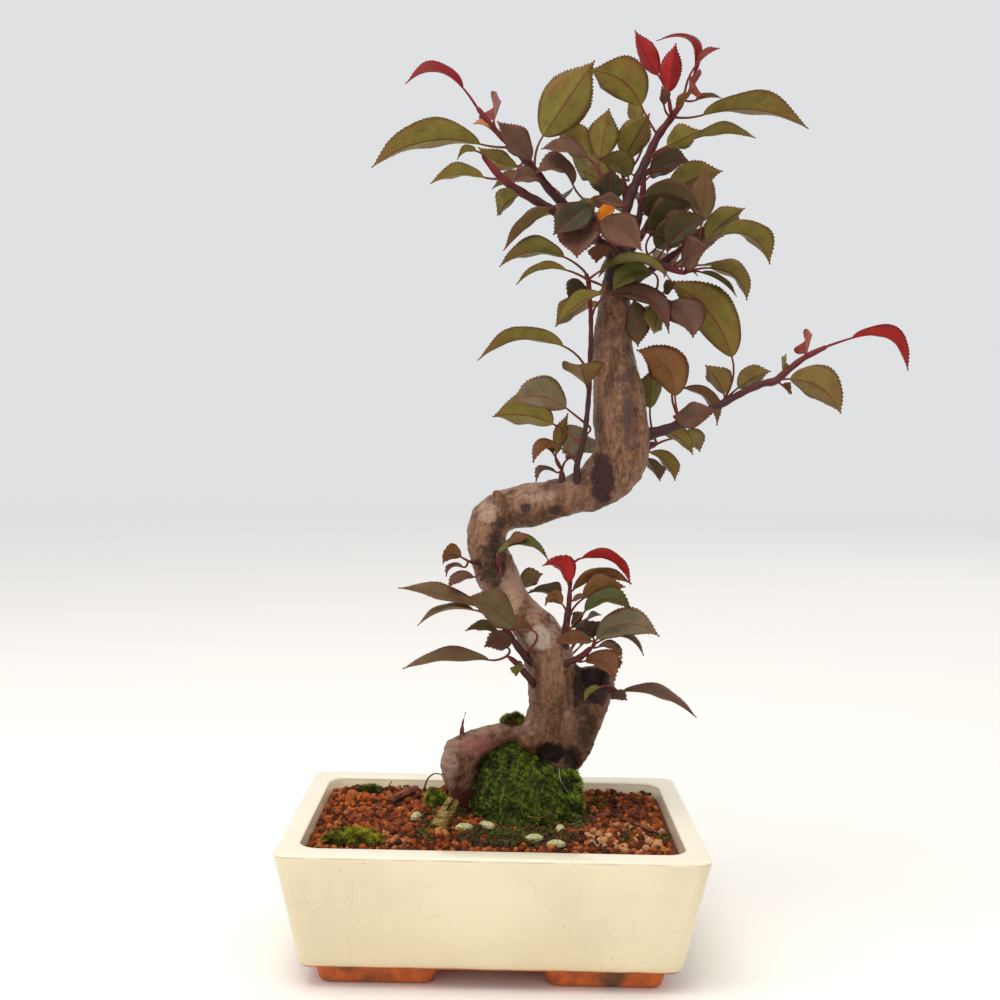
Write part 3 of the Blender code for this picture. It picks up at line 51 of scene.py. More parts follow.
# %% [markdown]
# # An apple bonsai in a cream pot
#
# The plant is a young apple tree in a low fired pot. Its solids are loaded as a frame, and this script gives each
# one the surface that the eye expects: toothed leaves with veins, bark with pores, moss with leaflets, loose clay
# grains and a crazed glaze. The tree was laid out from one picture of it, so its places are kept as pixels of a
# 1000 pixel square with a depth in millimetres. The first thing is therefore the eye that those pixels belong to.

# %% The eye
MIDDLE = Vector((-0.0517, -0.0018, 0.0))
EYE = Vector((0.0, -0.6555, 0.2644))
EYE_PITCH = math.radians(3.13)
EYE_ROLL = math.radians(1.16)
EYE_FOCAL = 1292.0
PICTURE = 1000.0
SENSOR = 36.0
TREE_DEPTH = 12
SOIL_TOP = 0.063


def eye_axes():
    """Right, up and forward: level axes pitched down about X, then rolled about the line of sight."""
    forward = Vector((0.0, math.cos(EYE_PITCH), -math.sin(EYE_PITCH)))
    level = Vector((1.0, 0.0, 0.0))
    upright = level.cross(forward)
    right = level * math.cos(EYE_ROLL) + upright * math.sin(EYE_ROLL)
    up = upright * math.cos(EYE_ROLL) - level * math.sin(EYE_ROLL)
    return right, up, forward


RIGHT, UP, FORWARD = eye_axes()


def sight(x, y):
    """The line of sight of a pixel: forward, plus right and up by the pixel's offset over the focal length."""
    return FORWARD + (RIGHT * (x - PICTURE / 2) - UP * (y - PICTURE / 2)) / EYE_FOCAL


def spot(x, y, depth):
    """The place on a pixel's line of sight at a depth in mm behind the middle of the tree."""
    ray = sight(x, y)
    return EYE + ray * (((depth + TREE_DEPTH) * MM - EYE.y) / ray.y) + MIDDLE


def on_soil(x, y):
    """The place where a pixel's line of sight meets the top of the soil."""
    ray = sight(x, y)
    return EYE + ray * ((SOIL_TOP - EYE.z) / ray.z) + MIDDLE


def pixel_size(depth):
    """How long one pixel is at a depth behind the middle of the tree."""
    return ((depth + TREE_DEPTH) * MM - EYE.y) / EYE_FOCAL


def placed(name, data):
    """A new object in the scene."""
    made = bpy.data.objects.new(name, data)
    bpy.context.scene.collection.objects.link(made)
    return made


camera = placed("eye", bpy.data.cameras.new("eye"))
turn = Matrix((RIGHT, UP, -FORWARD)).transposed().to_4x4()
camera.matrix_world = Matrix.Translation(EYE + MIDDLE) @ turn
camera.data.sensor_width = SENSOR
camera.data.lens = SENSOR * EYE_FOCAL / PICTURE
bpy.context.scene.camera = camera
print("the eye is at", [round(v, 3) for v in camera.location])

# %% [markdown]
# ## Shader maths
#
# A finish is a Principled BSDF with nodes in front of it. Building those by hand takes many lines, so a small class
# wraps a socket, and sums and products of sockets then read like arithmetic.

# %% Shader maths
class Value:
    """One output socket. +, -, * and the methods add Math nodes to its finish."""

    def __init__(self, finish, socket):
        self.finish, self.socket = finish, socket

    def math(self, operation, *others):
        return self.finish.node("ShaderNodeMath", {"operation": operation}, dict(enumerate((self, *others))))

    def __add__(self, other):
        return self.math("ADD", other)

    def __mul__(self, other):
        return self.math("MULTIPLY", other)

    def __sub__(self, other):
        return self.math("SUBTRACT", other)

    def __rsub__(self, other):
        return (self * -1.0) + other

    __radd__ = __add__

    def span(self, low, high):
        """0 below low, 1 above high, eased between."""
        settings = {"interpolation_type": "SMOOTHSTEP"}
        return self.finish.node("ShaderNodeMapRange", settings, {0: self, 1: low, 2: high})


class Finish:
    """A material: its Principled BSDF, and the nodes that feed it."""

    def __init__(self, name, **constants):
        self.material = bpy.data.materials.new(name)
        self.material.use_nodes = True
        self.nodes = self.material.node_tree.nodes
        self.links = self.material.node_tree.links
        self.shader = self.nodes["Principled BSDF"]
        self.feed(**constants)

    def plug(self, socket, value):
        """Links a value to a socket, or sets the socket to a number or a colour."""
        if isinstance(value, Value):
            self.links.new(value.socket, socket)
        elif hasattr(value, "__len__") and socket.type == "RGBA" and len(value) == 3:
            socket.default_value = (*value, 1.0)
        else:
            socket.default_value = value

    def feed(self, **values):
        """Sets or links the shader's sockets, named as base_color, roughness, coat_weight and so on."""
        for name, value in values.items():
            words = " ".join(w.upper() if w == "ior" else w.capitalize() for w in name.split("_"))
            self.plug(self.shader.inputs[words], value)

    def node(self, kind, settings=None, inputs=None, output=0):
        """Adds a node. Its settings come first, then the values or links of its sockets."""
        made = self.nodes.new(kind)
        for name, value in (settings or {}).items():
            setattr(made, name, value)
        for name, value in (inputs or {}).items():
            self.plug(made.inputs[name], value)
        return Value(self, made.outputs[output])

    def place(self):
        """Object coordinates, in metres."""
        return self.node("ShaderNodeTexCoord", output=3)

    def height(self):
        """The Z of the object coordinates."""
        return self.part_of(self.place(), 2)

    def noise(self, scale, detail=2.0, roughness=0.5, at=None):
        """Cloudy noise from 0 to 1, with scale clouds to a metre."""
        inputs = {"Vector": at or self.place(), "Scale": scale, "Detail": detail, "Roughness": roughness}
        return self.node("ShaderNodeTexNoise", None, inputs)

    def cells(self, scale, feature="F1", at=None):
        """The distance to the middle or the edge of irregular cells, with scale cells to a metre."""
        inputs = {"Vector": at or self.place(), "Scale": scale}
        return self.node("ShaderNodeTexVoronoi", {"feature": feature}, inputs)

    def stretched(self, x, y, z):
        """Object coordinates drawn out: each axis times a number."""
        return self.node("ShaderNodeMapping", None, {"Vector": self.place(), "Scale": (x, y, z)})

    def tint(self, output=0):
        """The mesh's own colours, or at output 3 their strength."""
        return self.node("ShaderNodeAttribute", {"attribute_name": "tint"}, output=output)

    def part_of(self, vector, axis):
        """One of a vector's three numbers."""
        return self.node("ShaderNodeSeparateXYZ", inputs={0: vector}, output=axis)

    def mix(self, under, over, factor):
        """under where factor is 0, over where it is 1."""
        return self.node("ShaderNodeMix", {"data_type": "RGBA"}, {0: factor, 6: under, 7: over}, output=2)

    def layers(self, colour, *over):
        """A colour with others laid over it, each given with the factor that shows it."""
        for other, factor in over:
            colour = self.mix(colour, other, factor)
        return colour

    def times(self, colour, other):
        """One colour times another."""
        settings = {"data_type": "RGBA", "blend_type": "MULTIPLY"}
        return self.node("ShaderNodeMix", settings, {0: 1.0, 6: colour, 7: other}, output=2)

    def bump(self, height, distance, strength):
        """Tilts the surface by a height from 0 to 1 that stands for a distance in metres."""
        inputs = {"Height": height, "Distance": distance, "Strength": strength}
        self.feed(normal=self.node("ShaderNodeBump", None, inputs))


def screen(red, green, blue):
    """A colour as a screen shows it, 0 to 255, made linear for the shaders by the sRGB curve."""
    return tuple(((v / 255 + 0.055) / 1.055) ** 2.4 if v > 10 else v / 255 / 12.92 for v in (red, green, blue))


# %% [markdown]
# ## From arrays to meshes
#
# Each new surface is a block of points, worked out with numpy as whole arrays. One function turns a block of closed
# rings into a tube of quads with a point at each end, and another makes the Blender mesh with its colours.

# %% Arrays to meshes
def rings_to_faces(count, around):
    """Quads between rings laid out one after another, and fans to one point before and one after them."""
    ring = np.arange(around)
    nxt = (ring + 1) % around
    start = 1 + np.arange(count - 1)[:, None] * around
    above = start + around
    quads = np.stack([start + ring, start + nxt, above + nxt, above + ring], axis=-1).reshape(-1, 4)
    last = 1 + (count - 1) * around
    first_fan = np.stack([np.zeros(around, int), 1 + nxt, 1 + ring], axis=-1)
    last_fan = np.stack([np.full(around, last + around), last + ring, last + nxt], axis=-1)
    return quads, np.concatenate([first_fan, last_fan])


def outward(points, quads, tris):
    """The faces of a closed shape, turned outwards: its volume, summed over its triangles, is positive."""
    fans = np.concatenate([quads[:, [0, 1, 2]], quads[:, [0, 2, 3]], tris])
    a, b, c = (points[fans] - points.mean(axis=0)).transpose(1, 0, 2)
    if np.einsum("ij,ij->", a, np.cross(b, c)) < 0:
        return quads[:, ::-1], tris[:, ::-1]
    return quads, tris


def capped(rings):
    """The rows of (count, around, n) rings one after another, between the means of the first and the last ring."""
    return np.concatenate([rings[:1].mean(axis=1), rings.reshape(-1, rings.shape[2]), rings[-1:].mean(axis=1)])


def paint(mesh, colours, strength=1.0):
    """Gives each point of a mesh its own colour, with a strength in alpha."""
    rows = np.empty((len(mesh.vertices), 4), dtype=np.float32)
    rows[:, :3] = colours
    rows[:, 3] = strength
    mesh.color_attributes.new("tint", "FLOAT_COLOR", "POINT").data.foreach_set("color", rows.ravel())


class Blocks:
    """Collects blocks of points, faces and colours for one mesh."""

    def __init__(self):
        self.points, self.quads, self.tris, self.tints, self.uvs = [], [], [], [], []
        self.count = 0

    def add(self, points, quads, tris, tints, uvs=None):
        self.points.append(points)
        self.quads.append(quads + self.count)
        self.tris.append(tris + self.count)
        self.tints.append(np.broadcast_to(tints, (len(points), 3)))
        self.uvs.append(np.zeros((len(points), 2)) if uvs is None else uvs)
        self.count += len(points)

    def tube(self, rings, tints, uvs=None):
        """rings is (count, around, 3). The ends close on the middle of the first and last ring."""
        points = capped(rings)
        tints = capped(tints) if np.ndim(tints) == 3 else tints
        uvs = None if uvs is None else capped(uvs)
        self.add(points, *outward(points, *rings_to_faces(*rings.shape[:2])), tints, uvs)

    def piece(self, name, finish, smooth=True):
        """The finished object: points, faces turned outwards, colours and UV map."""
        points = np.concatenate(self.points)
        quads, tris = np.concatenate(self.quads), np.concatenate(self.tris)
        mesh = bpy.data.meshes.new(name)
        mesh.from_pydata(points, [], quads.tolist() + tris.tolist())
        paint(mesh, np.concatenate(self.tints))
        corners = np.empty(len(mesh.loops), dtype=np.int32)
        mesh.loops.foreach_get("vertex_index", corners)
        uv = mesh.uv_layers.new(name="along")
        uv.data.foreach_set("uv", np.concatenate(self.uvs)[corners].astype(np.float32).ravel())
        if smooth:
            mesh.shade_smooth()
        return finished(name, mesh, finish)


def finished(name, mesh, finish):
    """An object at the origin that rides on the plant."""
    mesh.materials.clear()
    mesh.materials.append(finish.material)
    made = placed(name, mesh)
    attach(made, "root")
    return made


def unit(vectors):
    """Vectors made one long, and left at nothing where they are nothing."""
    return vectors / np.maximum(np.linalg.norm(vectors, axis=-1, keepdims=True), 1e-12)


# A direction that no path follows.
ASKEW = np.array([0.31, 0.93, 0.19])


def sweep(path, radii, around):
    """Round rings about a path: each at its point, across its direction, with its radius.

    The ring's first axis is the direction's cross product with one fixed vector, so the tube never twists."""
    along = unit(np.gradient(path, axis=0))
    side = unit(np.cross(along, ASKEW))
    up = np.cross(side, along)
    angle = np.linspace(0, 2 * np.pi, around, endpoint=False)
    circle = np.cos(angle)[None, :, None] * side[:, None, :] + np.sin(angle)[None, :, None] * up[:, None, :]
    return path[:, None, :] + circle * np.asarray(radii)[:, None, None]


def curve_through(points, step):
    """Places and radii along a Catmull-Rom curve through pixel points, every step in metres.

    The radius goes from one point's to the next by 3 t^2 - 2 t^3."""
    knots = np.array([(*spot(x, y, d), r * pixel_size(d)) for x, y, d, r in points])
    before = np.concatenate([knots[:1], knots[:-2]])
    after = np.concatenate([knots[2:], knots[-1:]])
    pieces = []
    for p, a, b, n in zip(before, knots[:-1], knots[1:], after):
        count = max(1, round(float(np.linalg.norm((b - a)[:3])) / step))
        t = np.arange(count)[:, None] / count
        run = 0.5 * (2 * a + (b - p) * t + (2 * p - 5 * a + 4 * b - n) * t ** 2 + (3 * a - p - 3 * b + n) * t ** 3)
        run[:, 3] = a[3] + (b[3] - a[3]) * (3 * t * t - 2 * t ** 3)[:, 0]
        pieces.append(run)
    whole = np.concatenate(pieces + [knots[-1:]])
    return whole[:, :3], whole[:, 3]


def copy_of(name):
    """A bmesh of a node's solid, with its loose triangles merged."""
    shape = bmesh.new()
    shape.from_mesh(nodes[name].data)
    bmesh.ops.remove_doubles(shape, verts=shape.verts, dist=1e-6)
    return shape


def surface_tree(name):
    """A node's surface, for rays and nearest places."""
    shape = copy_of(name)
    tree = BVHTree.FromBMesh(shape)
    shape.free()
    return tree


def mesh_of(name, shape):
    """The mesh of a bmesh, which is freed."""
    mesh = bpy.data.meshes.new(name)
    shape.to_mesh(mesh)
    shape.free()
    return mesh


def evaluated(made):
    """The mesh that an object's modifiers make, in place of the object."""
    bpy.context.view_layer.update()
    mesh = bpy.data.meshes.new_from_object(made.evaluated_get(bpy.context.evaluated_depsgraph_get()))
    bpy.data.objects.remove(made)
    mesh.shade_smooth()
    return mesh


def points_of(mesh):
    """A mesh's points and the normals there."""
    places = np.empty(len(mesh.vertices) * 3, dtype=np.float32)
    normals = np.empty(len(mesh.vertices) * 3, dtype=np.float32)
    mesh.vertices.foreach_get("co", places)
    mesh.vertex_normals.foreach_get("vector", normals)
    return places.reshape(-1, 3).astype(float), normals.reshape(-1, 3).astype(float)


def remeshed(name, shape, voxel, smoothing):
    """A closed mesh of even small faces over a bmesh, smoothed."""
    made = placed(name, mesh_of(name, shape))
    skin = made.modifiers.new("skin", "REMESH")
    skin.mode = "VOXEL"
    skin.voxel_size = voxel
    ease = made.modifiers.new("ease", "SMOOTH")
    ease.factor = 0.5
    ease.iterations = smoothing
    return evaluated(made)


def push_out(mesh, places, normals, heights):
    """Moves a mesh's points along their normals."""
    mesh.vertices.foreach_set("co", (places + normals * heights[:, None]).astype(np.float32).ravel())


def waves(p, *rows):
    """A sum of products of sines over points: each row is a height, three rates per metre and a phase."""
    total = np.zeros(len(p))
    for height, a, b, c, phase in rows:
        total += height * np.sin(a * p[:, 0] + b * p[:, 2] + phase) * np.sin(b * p[:, 1] + c * p[:, 2] + 2 * phase)
    return total


print("helpers are ready")

# %% [markdown]
# ## The pot
#
# The pot is slip-cast stoneware with straight walls that lean out, a flat rim and four bare feet. A profile of half
# width, half depth, corner radius and height, carried round a rounded rectangle, gives it crisp but soft edges. Two
# drain holes are cut through its floor. The feet are short blocks of the same kind, sunk a little into its base.

# %% The pot's shape
POT_WIDTH = 0.204
POT_DEPTH = 0.147
POT_HEIGHT = 0.0675
BASE_WIDTH = 0.181
BASE_DEPTH = 0.125
RIM = (0.0107, 0.0122)
FLOOR = 0.017
FOOT_HEIGHT = 0.010
FOOT_LENGTH = 0.062
FOOT_WIDTH = 0.034
FOOT_INSET = 0.0050
FOOT_EDGE = 0.0025
FOOT_LEAN = 0.0029
CORNER = 0.006
LOW_EDGE = 0.0035
TOP_EDGE = 0.0014
INNER_CORNER = 0.010
DRAIN_RADIUS = 0.008
DRAIN_X = 0.045
INNER_EDGE = 0.0012
FLOOR_EDGE = 0.003
DRAIN_LENGTH = 0.03
# How much rounder the corners are at the wall's low and top edge, and the wall's lean at its edges in degrees.
LOW_ROUND = 0.0005
TOP_ROUND = 0.0006
WALL_LEAN = 8
# How much smaller a foot is at its top than at its widest, and how far it is sunk into the base.
FOOT_TAPER = 0.0006
FOOT_SUNK = 0.0015
CORNER_STEPS = 10
EDGE_STEPS = 5
SHARP = math.radians(50)


def rounded_rings(rows, centre):
    """Rings round a rectangle with round corners. Each row is half width, half depth, corner radius and height."""
    a, b, r, z = (np.array(rows).T)[:, :, None]
    angle = np.linspace(0, np.pi / 2, CORNER_STEPS)
    angles = np.concatenate([angle + k * np.pi / 2 for k in range(4)])[None, :]
    sx = np.repeat([1, -1, -1, 1], CORNER_STEPS)[None, :]
    sy = np.repeat([1, 1, -1, -1], CORNER_STEPS)[None, :]
    x = sx * (a - r) + r * np.cos(angles)
    y = sy * (b - r) + r * np.sin(angles)
    rings = np.stack([x, y, np.broadcast_to(z, x.shape)], axis=-1)
    return rings + np.array(centre)


def edge_arc(halves, inset, corner, height, radius, start, end):
    """Profile rows round one edge: an arc between two angles in degrees, its middle inset from two half sizes."""
    turns = np.radians(np.linspace(start, end, EDGE_STEPS))
    half, depth = halves[0] - inset, halves[1] - inset
    arc = [(radius * math.cos(turn), radius * math.sin(turn)) for turn in turns]
    return [(half + out, depth + out, corner + out, height + up) for out, up in arc]


def wall_half(z, inset=(0.0, 0.0)):
    """Half the pot's width and depth at a height: straight from the base's to the rim's."""
    share = (z - FOOT_HEIGHT) / (POT_HEIGHT - FOOT_HEIGHT)
    return ((BASE_WIDTH + (POT_WIDTH - BASE_WIDTH) * share) / 2 - inset[0],
            (BASE_DEPTH + (POT_DEPTH - BASE_DEPTH) * share) / 2 - inset[1])


def pot_rows():
    """Up the outside, over the rim and down the inside: four round edges with straight walls between them."""
    low, top, inner, floor = LOW_EDGE, TOP_EDGE, INNER_EDGE, FLOOR_EDGE
    outside = wall_half(FOOT_HEIGHT + low)
    rows = edge_arc(outside, low, CORNER - low + LOW_ROUND, FOOT_HEIGHT + low, low, -90, -WALL_LEAN)
    outside = wall_half(POT_HEIGHT - top)
    rows += edge_arc(outside, top, CORNER - top + TOP_ROUND, POT_HEIGHT - top, top, WALL_LEAN, 90)
    inside = wall_half(POT_HEIGHT, RIM)
    rows += edge_arc(inside, -inner, INNER_CORNER + inner, POT_HEIGHT - inner, inner, 90, 180 - WALL_LEAN)
    inside = wall_half(FLOOR + floor, RIM)
    rows += edge_arc(inside, floor, INNER_CORNER - floor, FLOOR + floor, floor, 0, -90)
    return rows


def carved(name, blocks, finish, cutters):
    """The piece with other shapes taken out of it."""
    piece = blocks.piece(name, finish)
    for cutter in cutters:
        cut = piece.modifiers.new("cut", "BOOLEAN")
        cut.object = cutter
    mesh = evaluated(piece)
    for cutter in cutters:
        bpy.data.objects.remove(cutter)
    mesh.set_sharp_from_angle(angle=SHARP)
    return finished(name, mesh, finish)


def drain(x):
    """A round cutter through the pot's floor."""
    shape = bmesh.new()
    bmesh.ops.create_cone(
        shape, cap_ends=True, segments=32, radius1=DRAIN_RADIUS, radius2=DRAIN_RADIUS, depth=DRAIN_LENGTH)
    shape.transform(Matrix.Translation((x + MIDDLE.x, MIDDLE.y, FOOT_HEIGHT)))
    return placed("drain", mesh_of("drain", shape))


def foot_rows():
    """A foot's round lower edge, and its top inside the base."""
    half, depth = FOOT_LENGTH / 2, FOOT_WIDTH / 2
    rows = edge_arc((half, depth), FOOT_LEAN + FOOT_EDGE, CORNER - FOOT_EDGE, FOOT_EDGE, FOOT_EDGE, -90, 0)
    return rows + [(half - FOOT_TAPER, depth - FOOT_TAPER, CORNER, FOOT_HEIGHT + FOOT_SUNK)]


# %% [markdown]
# ### Cream glaze over a red body
#
# Glaze breaks to a thin pinkish line on the rim's edges and is crossed by fine cracks that hold a little dirt.
# Below the foot ring's line the body is bare terracotta with dark water stains. Height decides between the two, with
# a slow wobble, as a dipped pot has.

# %% Cream glaze
# Heights in metres, from and to: where the glaze ends over the feet, where it has pooled there, where a painted
# highlight makes it paler below the rim, and where the rim's edge is worn.
GLAZE_END = (FOOT_HEIGHT + 0.0010, FOOT_HEIGHT + 0.0021)
GLAZE_POOL = (FOOT_HEIGHT + 0.001, FOOT_HEIGHT + 0.006)
RIM_PAINTED_HIGHLIGHT = (POT_HEIGHT - 0.0030, POT_HEIGHT - 0.0002)
WORN_FROM = (POT_HEIGHT - 0.0021, POT_HEIGHT - 0.0015)
WORN_TO = (POT_HEIGHT - 0.0012, POT_HEIGHT - 0.0006)
GLAZE_WOBBLE = 0.0016


def glaze_finish():
    """Cream glaze with cracks, specks, a worn rim, a painted highlight below the rim and pools over the feet, and
    clay below the line where it ends.
    """
    look = Finish("cream_glaze", coat_weight=0.25, coat_roughness=0.12, specular_ior_level=0.5)
    z = look.height()
    wobble = look.noise(60.0, 2.0) - 0.5
    bare = 1.0 - (z + wobble * GLAZE_WOBBLE).span(*GLAZE_END)
    cream = look.mix(screen(221, 206, 172), screen(232, 218, 184), look.noise(22.0, 3.0).span(0.3, 0.7))
    long_cells = look.cells(64.0, "DISTANCE_TO_EDGE", look.stretched(1.0, 1.0, 0.38))
    cracks = (1.0 - long_cells.span(0.0, 0.006)) * look.noise(38.0, 2.0).span(0.46, 0.60)
    specks = (1.0 - look.cells(300.0).span(0.04, 0.12)) * look.noise(400.0, 0.0).span(0.61, 0.65)
    worn = z.span(*WORN_FROM) * (1.0 - z.span(*WORN_TO)) * look.noise(70.0, 3.0).span(0.25, 0.60)
    cream = look.layers(
        cream,
        # Painted highlight: the glaze is painted paler near the top of the pot.
        (screen(240, 230, 204), z.span(*RIM_PAINTED_HIGHLIGHT)),
        (screen(150, 126, 96), cracks * 0.35),
        (screen(90, 60, 42), specks * 0.8),
        (screen(196, 152, 140), worn * 0.5),
        (screen(206, 178, 128), (1.0 - z.span(*GLAZE_POOL)) * 0.4))
    clay = look.mix(screen(196, 96, 30), screen(150, 70, 20), look.noise(140.0, 4.0).span(0.35, 0.7))
    clay = look.mix(clay, screen(62, 56, 36), look.noise(34.0, 4.0).span(0.50, 0.64) * 0.8)
    look.feed(base_color=look.mix(cream, clay, bare), roughness=0.2 + bare * 0.62 + cracks * 0.06)
    look.bump(look.noise(38.0, 2.0) * 0.5 + look.noise(900.0, 2.0) * bare - cracks * 0.04, 0.0004, 0.5)
    return look


GLAZE = glaze_finish()
pot_blocks = Blocks()
pot_blocks.tube(rounded_rings(pot_rows(), MIDDLE), (1, 1, 1))
pot = carved("pot_body", pot_blocks, GLAZE, [drain(DRAIN_X), drain(-DRAIN_X)])
feet_blocks = Blocks()
for side in (-1, 1):
    for end in (-1, 1):
        x = side * (BASE_WIDTH / 2 - FOOT_INSET - FOOT_LENGTH / 2)
        y = end * (BASE_DEPTH / 2 - FOOT_INSET - FOOT_WIDTH / 2)
        feet_blocks.tube(rounded_rings(foot_rows(), MIDDLE + Vector((x, y, 0.0))), (1, 1, 1))
feet = feet_blocks.piece("pot_feet", GLAZE)
feet.data.set_sharp_from_angle(angle=SHARP)
for piece in (pot, feet):
    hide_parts("pot")
print("pot faces", len(pot.data.polygons))

# %% [markdown]
# ## Bark
#
# A young apple's bark is smooth, grey-brown with a purple sheen, and dotted with golden pores. The solid trunk
# already has every bend, wound and stub, so its surface is remeshed finely, and waves of a few tenths of a
# millimetre are added along its normals: long flutes, rings where old leaves stood, and fine wrinkles.

# %% Bark
# Heights in metres where the earth's stain fades, and where the painted shade under the crown begins.
STAINED = (0.095, 0.16)
CROWN_SHADE = (0.31, 0.36)


def bark_finish():
    """Streaked bark, then its purple and dark clouds, stains, painted shade in the crown, a painted highlight on what
    faces up, pores, dirt and the marks, some of which are painted shade and highlights.
    """
    look = Finish("bark", specular_ior_level=0.25)
    z = look.height()
    up = look.part_of(look.node("ShaderNodeNewGeometry", output=1), 2)
    streaks = look.noise(150.0, 5.0, 0.65, at=look.stretched(1.0, 1.0, 0.30))
    fine = look.noise(520.0, 4.0, 0.7, at=look.stretched(1.0, 1.0, 0.45))
    cells = look.cells(900.0, at=look.stretched(1.0, 1.0, 0.6))
    pores = (1.0 - cells.span(0.16, 0.36)) * look.noise(90.0, 2.0).span(0.36, 0.54)
    dirt = look.noise(210.0, 4.0, 0.7).span(0.56, 0.74)
    strength = look.tint(3)
    ragged = strength.span(0.0, 0.2) * (strength + look.noise(200.0, 4.0, 0.7) * 1.5 - 0.75).span(0.2, 0.75)
    mark = look.times(look.tint(), look.mix((0.7, 0.7, 0.7), (1.15, 1.15, 1.15), streaks))
    colour = look.mix(screen(74, 46, 30), screen(148, 108, 82), (streaks * 0.55 + fine * 0.45).span(0.38, 0.62))
    colour = look.layers(
        colour,
        (screen(140, 96, 84), look.noise(24.0, 3.0).span(0.50, 0.70) * 0.5),
        (screen(54, 34, 23), look.noise(60.0, 4.0, 0.65).span(0.52, 0.70) * 0.7),
        (screen(92, 56, 34), (1.0 - z.span(*STAINED)) * look.noise(70.0, 3.0).span(0.35, 0.65) * 0.6),
        # Painted shade: the bark is darker up in the crown, under the leaves.
        (screen(82, 52, 36), z.span(*CROWN_SHADE) * 0.55),
        # Painted highlight: bark that faces up is painted paler.
        (screen(182, 144, 122), up.span(0.1, 0.9) * streaks.span(0.3, 0.6) * 0.5),
        (screen(176, 118, 54), pores * 0.75),
        (screen(44, 32, 26), dirt * 0.5),
        # The marks, among them painted shade and a painted highlight.
        (mark, ragged))
    look.feed(base_color=colour, roughness=0.46 + dirt * 0.3)
    look.bump(streaks * 1.1 + fine * 0.8 + pores * 0.5 - ragged * 0.4, 0.0009, 1.0)
    return look


BARK = bark_finish()
# The bark's relief: rows for waves(), then the wrinkles' height, their rate up the wood, and how far and how fast
# they sway with x and with y.
BARK_WAVES = (0.00035, 190, 150, 60, 0.4), (0.00025, 420, 330, 190, 1.7), (0.00016, 900, 700, 480, 2.9)
WRINKLE = 0.00012
WRINKLE_RATE = 1500
WRINKLE_SWAY = (6, 240), (5, 260)


def bark_relief(p):
    """Heights in metres: slow flutes, rings across the wood and fine wrinkles."""
    sway = sum(reach * np.sin(rate * p[:, axis]) for axis, (reach, rate) in enumerate(WRINKLE_SWAY))
    return waves(p, *BARK_WAVES) + WRINKLE * np.sin(WRINKLE_RATE * p[:, 2] + sway)


BARK_FACE = 0.0010
BARK_SMOOTHING = 5
# How fast a mark fades where the bark turns away from the eye.
MARK_FADE = 4
# Marks on the bark's front: their pixel, half width and half height in pixels, colour and strength. Among them, the
# dark ones at (551, 753), (593, 682) and (613, 262) are painted shade under the base, in the scooped hollow and in
# the crown, and the pale one at (511, 592) is a painted highlight.
MARKS_AND_PAINTED_LIGHT = (
    (602, 480, 13, 28, (58, 30, 26), 0.95), (541, 637, 17, 14, (178, 158, 140), 0.8),
    (593, 682, 20, 26, (44, 27, 21), 1.0), (594, 650, 8, 7, (176, 138, 94), 0.75),
    (525, 508, 7, 5, (56, 40, 33), 0.65), (500, 522, 6, 9, (60, 44, 36), 0.6),
    (556, 510, 10, 7, (60, 44, 36), 0.65), (551, 753, 18, 12, (30, 20, 16), 0.95),
    (494, 560, 16, 34, (54, 37, 29), 0.7), (590, 345, 7, 16, (52, 40, 33), 0.75),
    (572, 758, 12, 14, (40, 27, 22), 0.8), (480, 745, 24, 10, (144, 88, 78), 0.75),
    (511, 592, 14, 26, (176, 140, 116), 0.75), (574, 620, 5, 5, (130, 92, 66), 0.6),
    (613, 262, 18, 34, (40, 28, 23), 0.85), (588, 730, 12, 34, (66, 44, 30), 0.6),
    (461, 722, 10, 20, (104, 62, 46), 0.9), (447, 768, 12, 26, (158, 126, 108), 0.75),
    (464, 800, 12, 16, (112, 64, 56), 0.7), (577, 680, 4, 40, (46, 32, 26), 0.7),
    (488, 512, 12, 12, (168, 136, 116), 0.75), (540, 496, 22, 7, (168, 136, 116), 0.6),
    (548, 560, 9, 20, (120, 88, 78), 0.5), (628, 400, 8, 60, (88, 68, 58), 0.6),
)


def seen_at(places):
    """The pixels of places, and the directions from the eye to them."""
    rays = places - np.array(EYE + MIDDLE)
    far = rays @ np.array(FORWARD)
    return (PICTURE / 2 + EYE_FOCAL * (rays @ np.array(RIGHT)) / far,
            PICTURE / 2 - EYE_FOCAL * (rays @ np.array(UP)) / far, unit(rays))


def paint_marks_and_light(mesh, places, normals):
    """Colours for the mesh's points, with the strength in alpha: exp(-(u^2 + v^2)^2) of each mark's ellipse."""
    x, y, rays = seen_at(places)
    front = np.clip(-np.einsum("ij,ij->i", normals, rays) * MARK_FADE, 0, 1)
    colours = np.zeros((len(places), 4), dtype=np.float32)
    for px, py, wide, high, colour, strength in MARKS_AND_PAINTED_LIGHT:
        share = strength * front * np.exp(-(((x - px) / wide) ** 2 + ((y - py) / high) ** 2) ** 2)
        over = share > colours[:, 3]
        colours[over, :3] = screen(*colour)
        colours[over, 3] = share[over]
    paint(mesh, colours[:, :3], colours[:, 3])


bark_mesh = remeshed("trunk_bark", copy_of("trunk"), BARK_FACE, BARK_SMOOTHING)
places, normals = points_of(bark_mesh)
paint_marks_and_light(bark_mesh, places, normals)
push_out(bark_mesh, places, normals, bark_relief(places))
trunk = finished("trunk_bark", bark_mesh, BARK)
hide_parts("trunk")
print("bark faces", len(bark_mesh.polygons))

# %% [markdown]
# ## Leaves
#
# An apple leaf is an oval drawn out to a point, folded up a little along its rib, with a fine forward-pointing
# tooth every millimetre or two, and six or seven veins a side that sink into the upper face. The fine leaves stand
# exactly where the coarse solid ones do. Each row repeats the solid's row, and since those leaves were turned in
# depth until they cleared one another, the same turns are tried here until the leaf's base and tip lie on the
# solid.

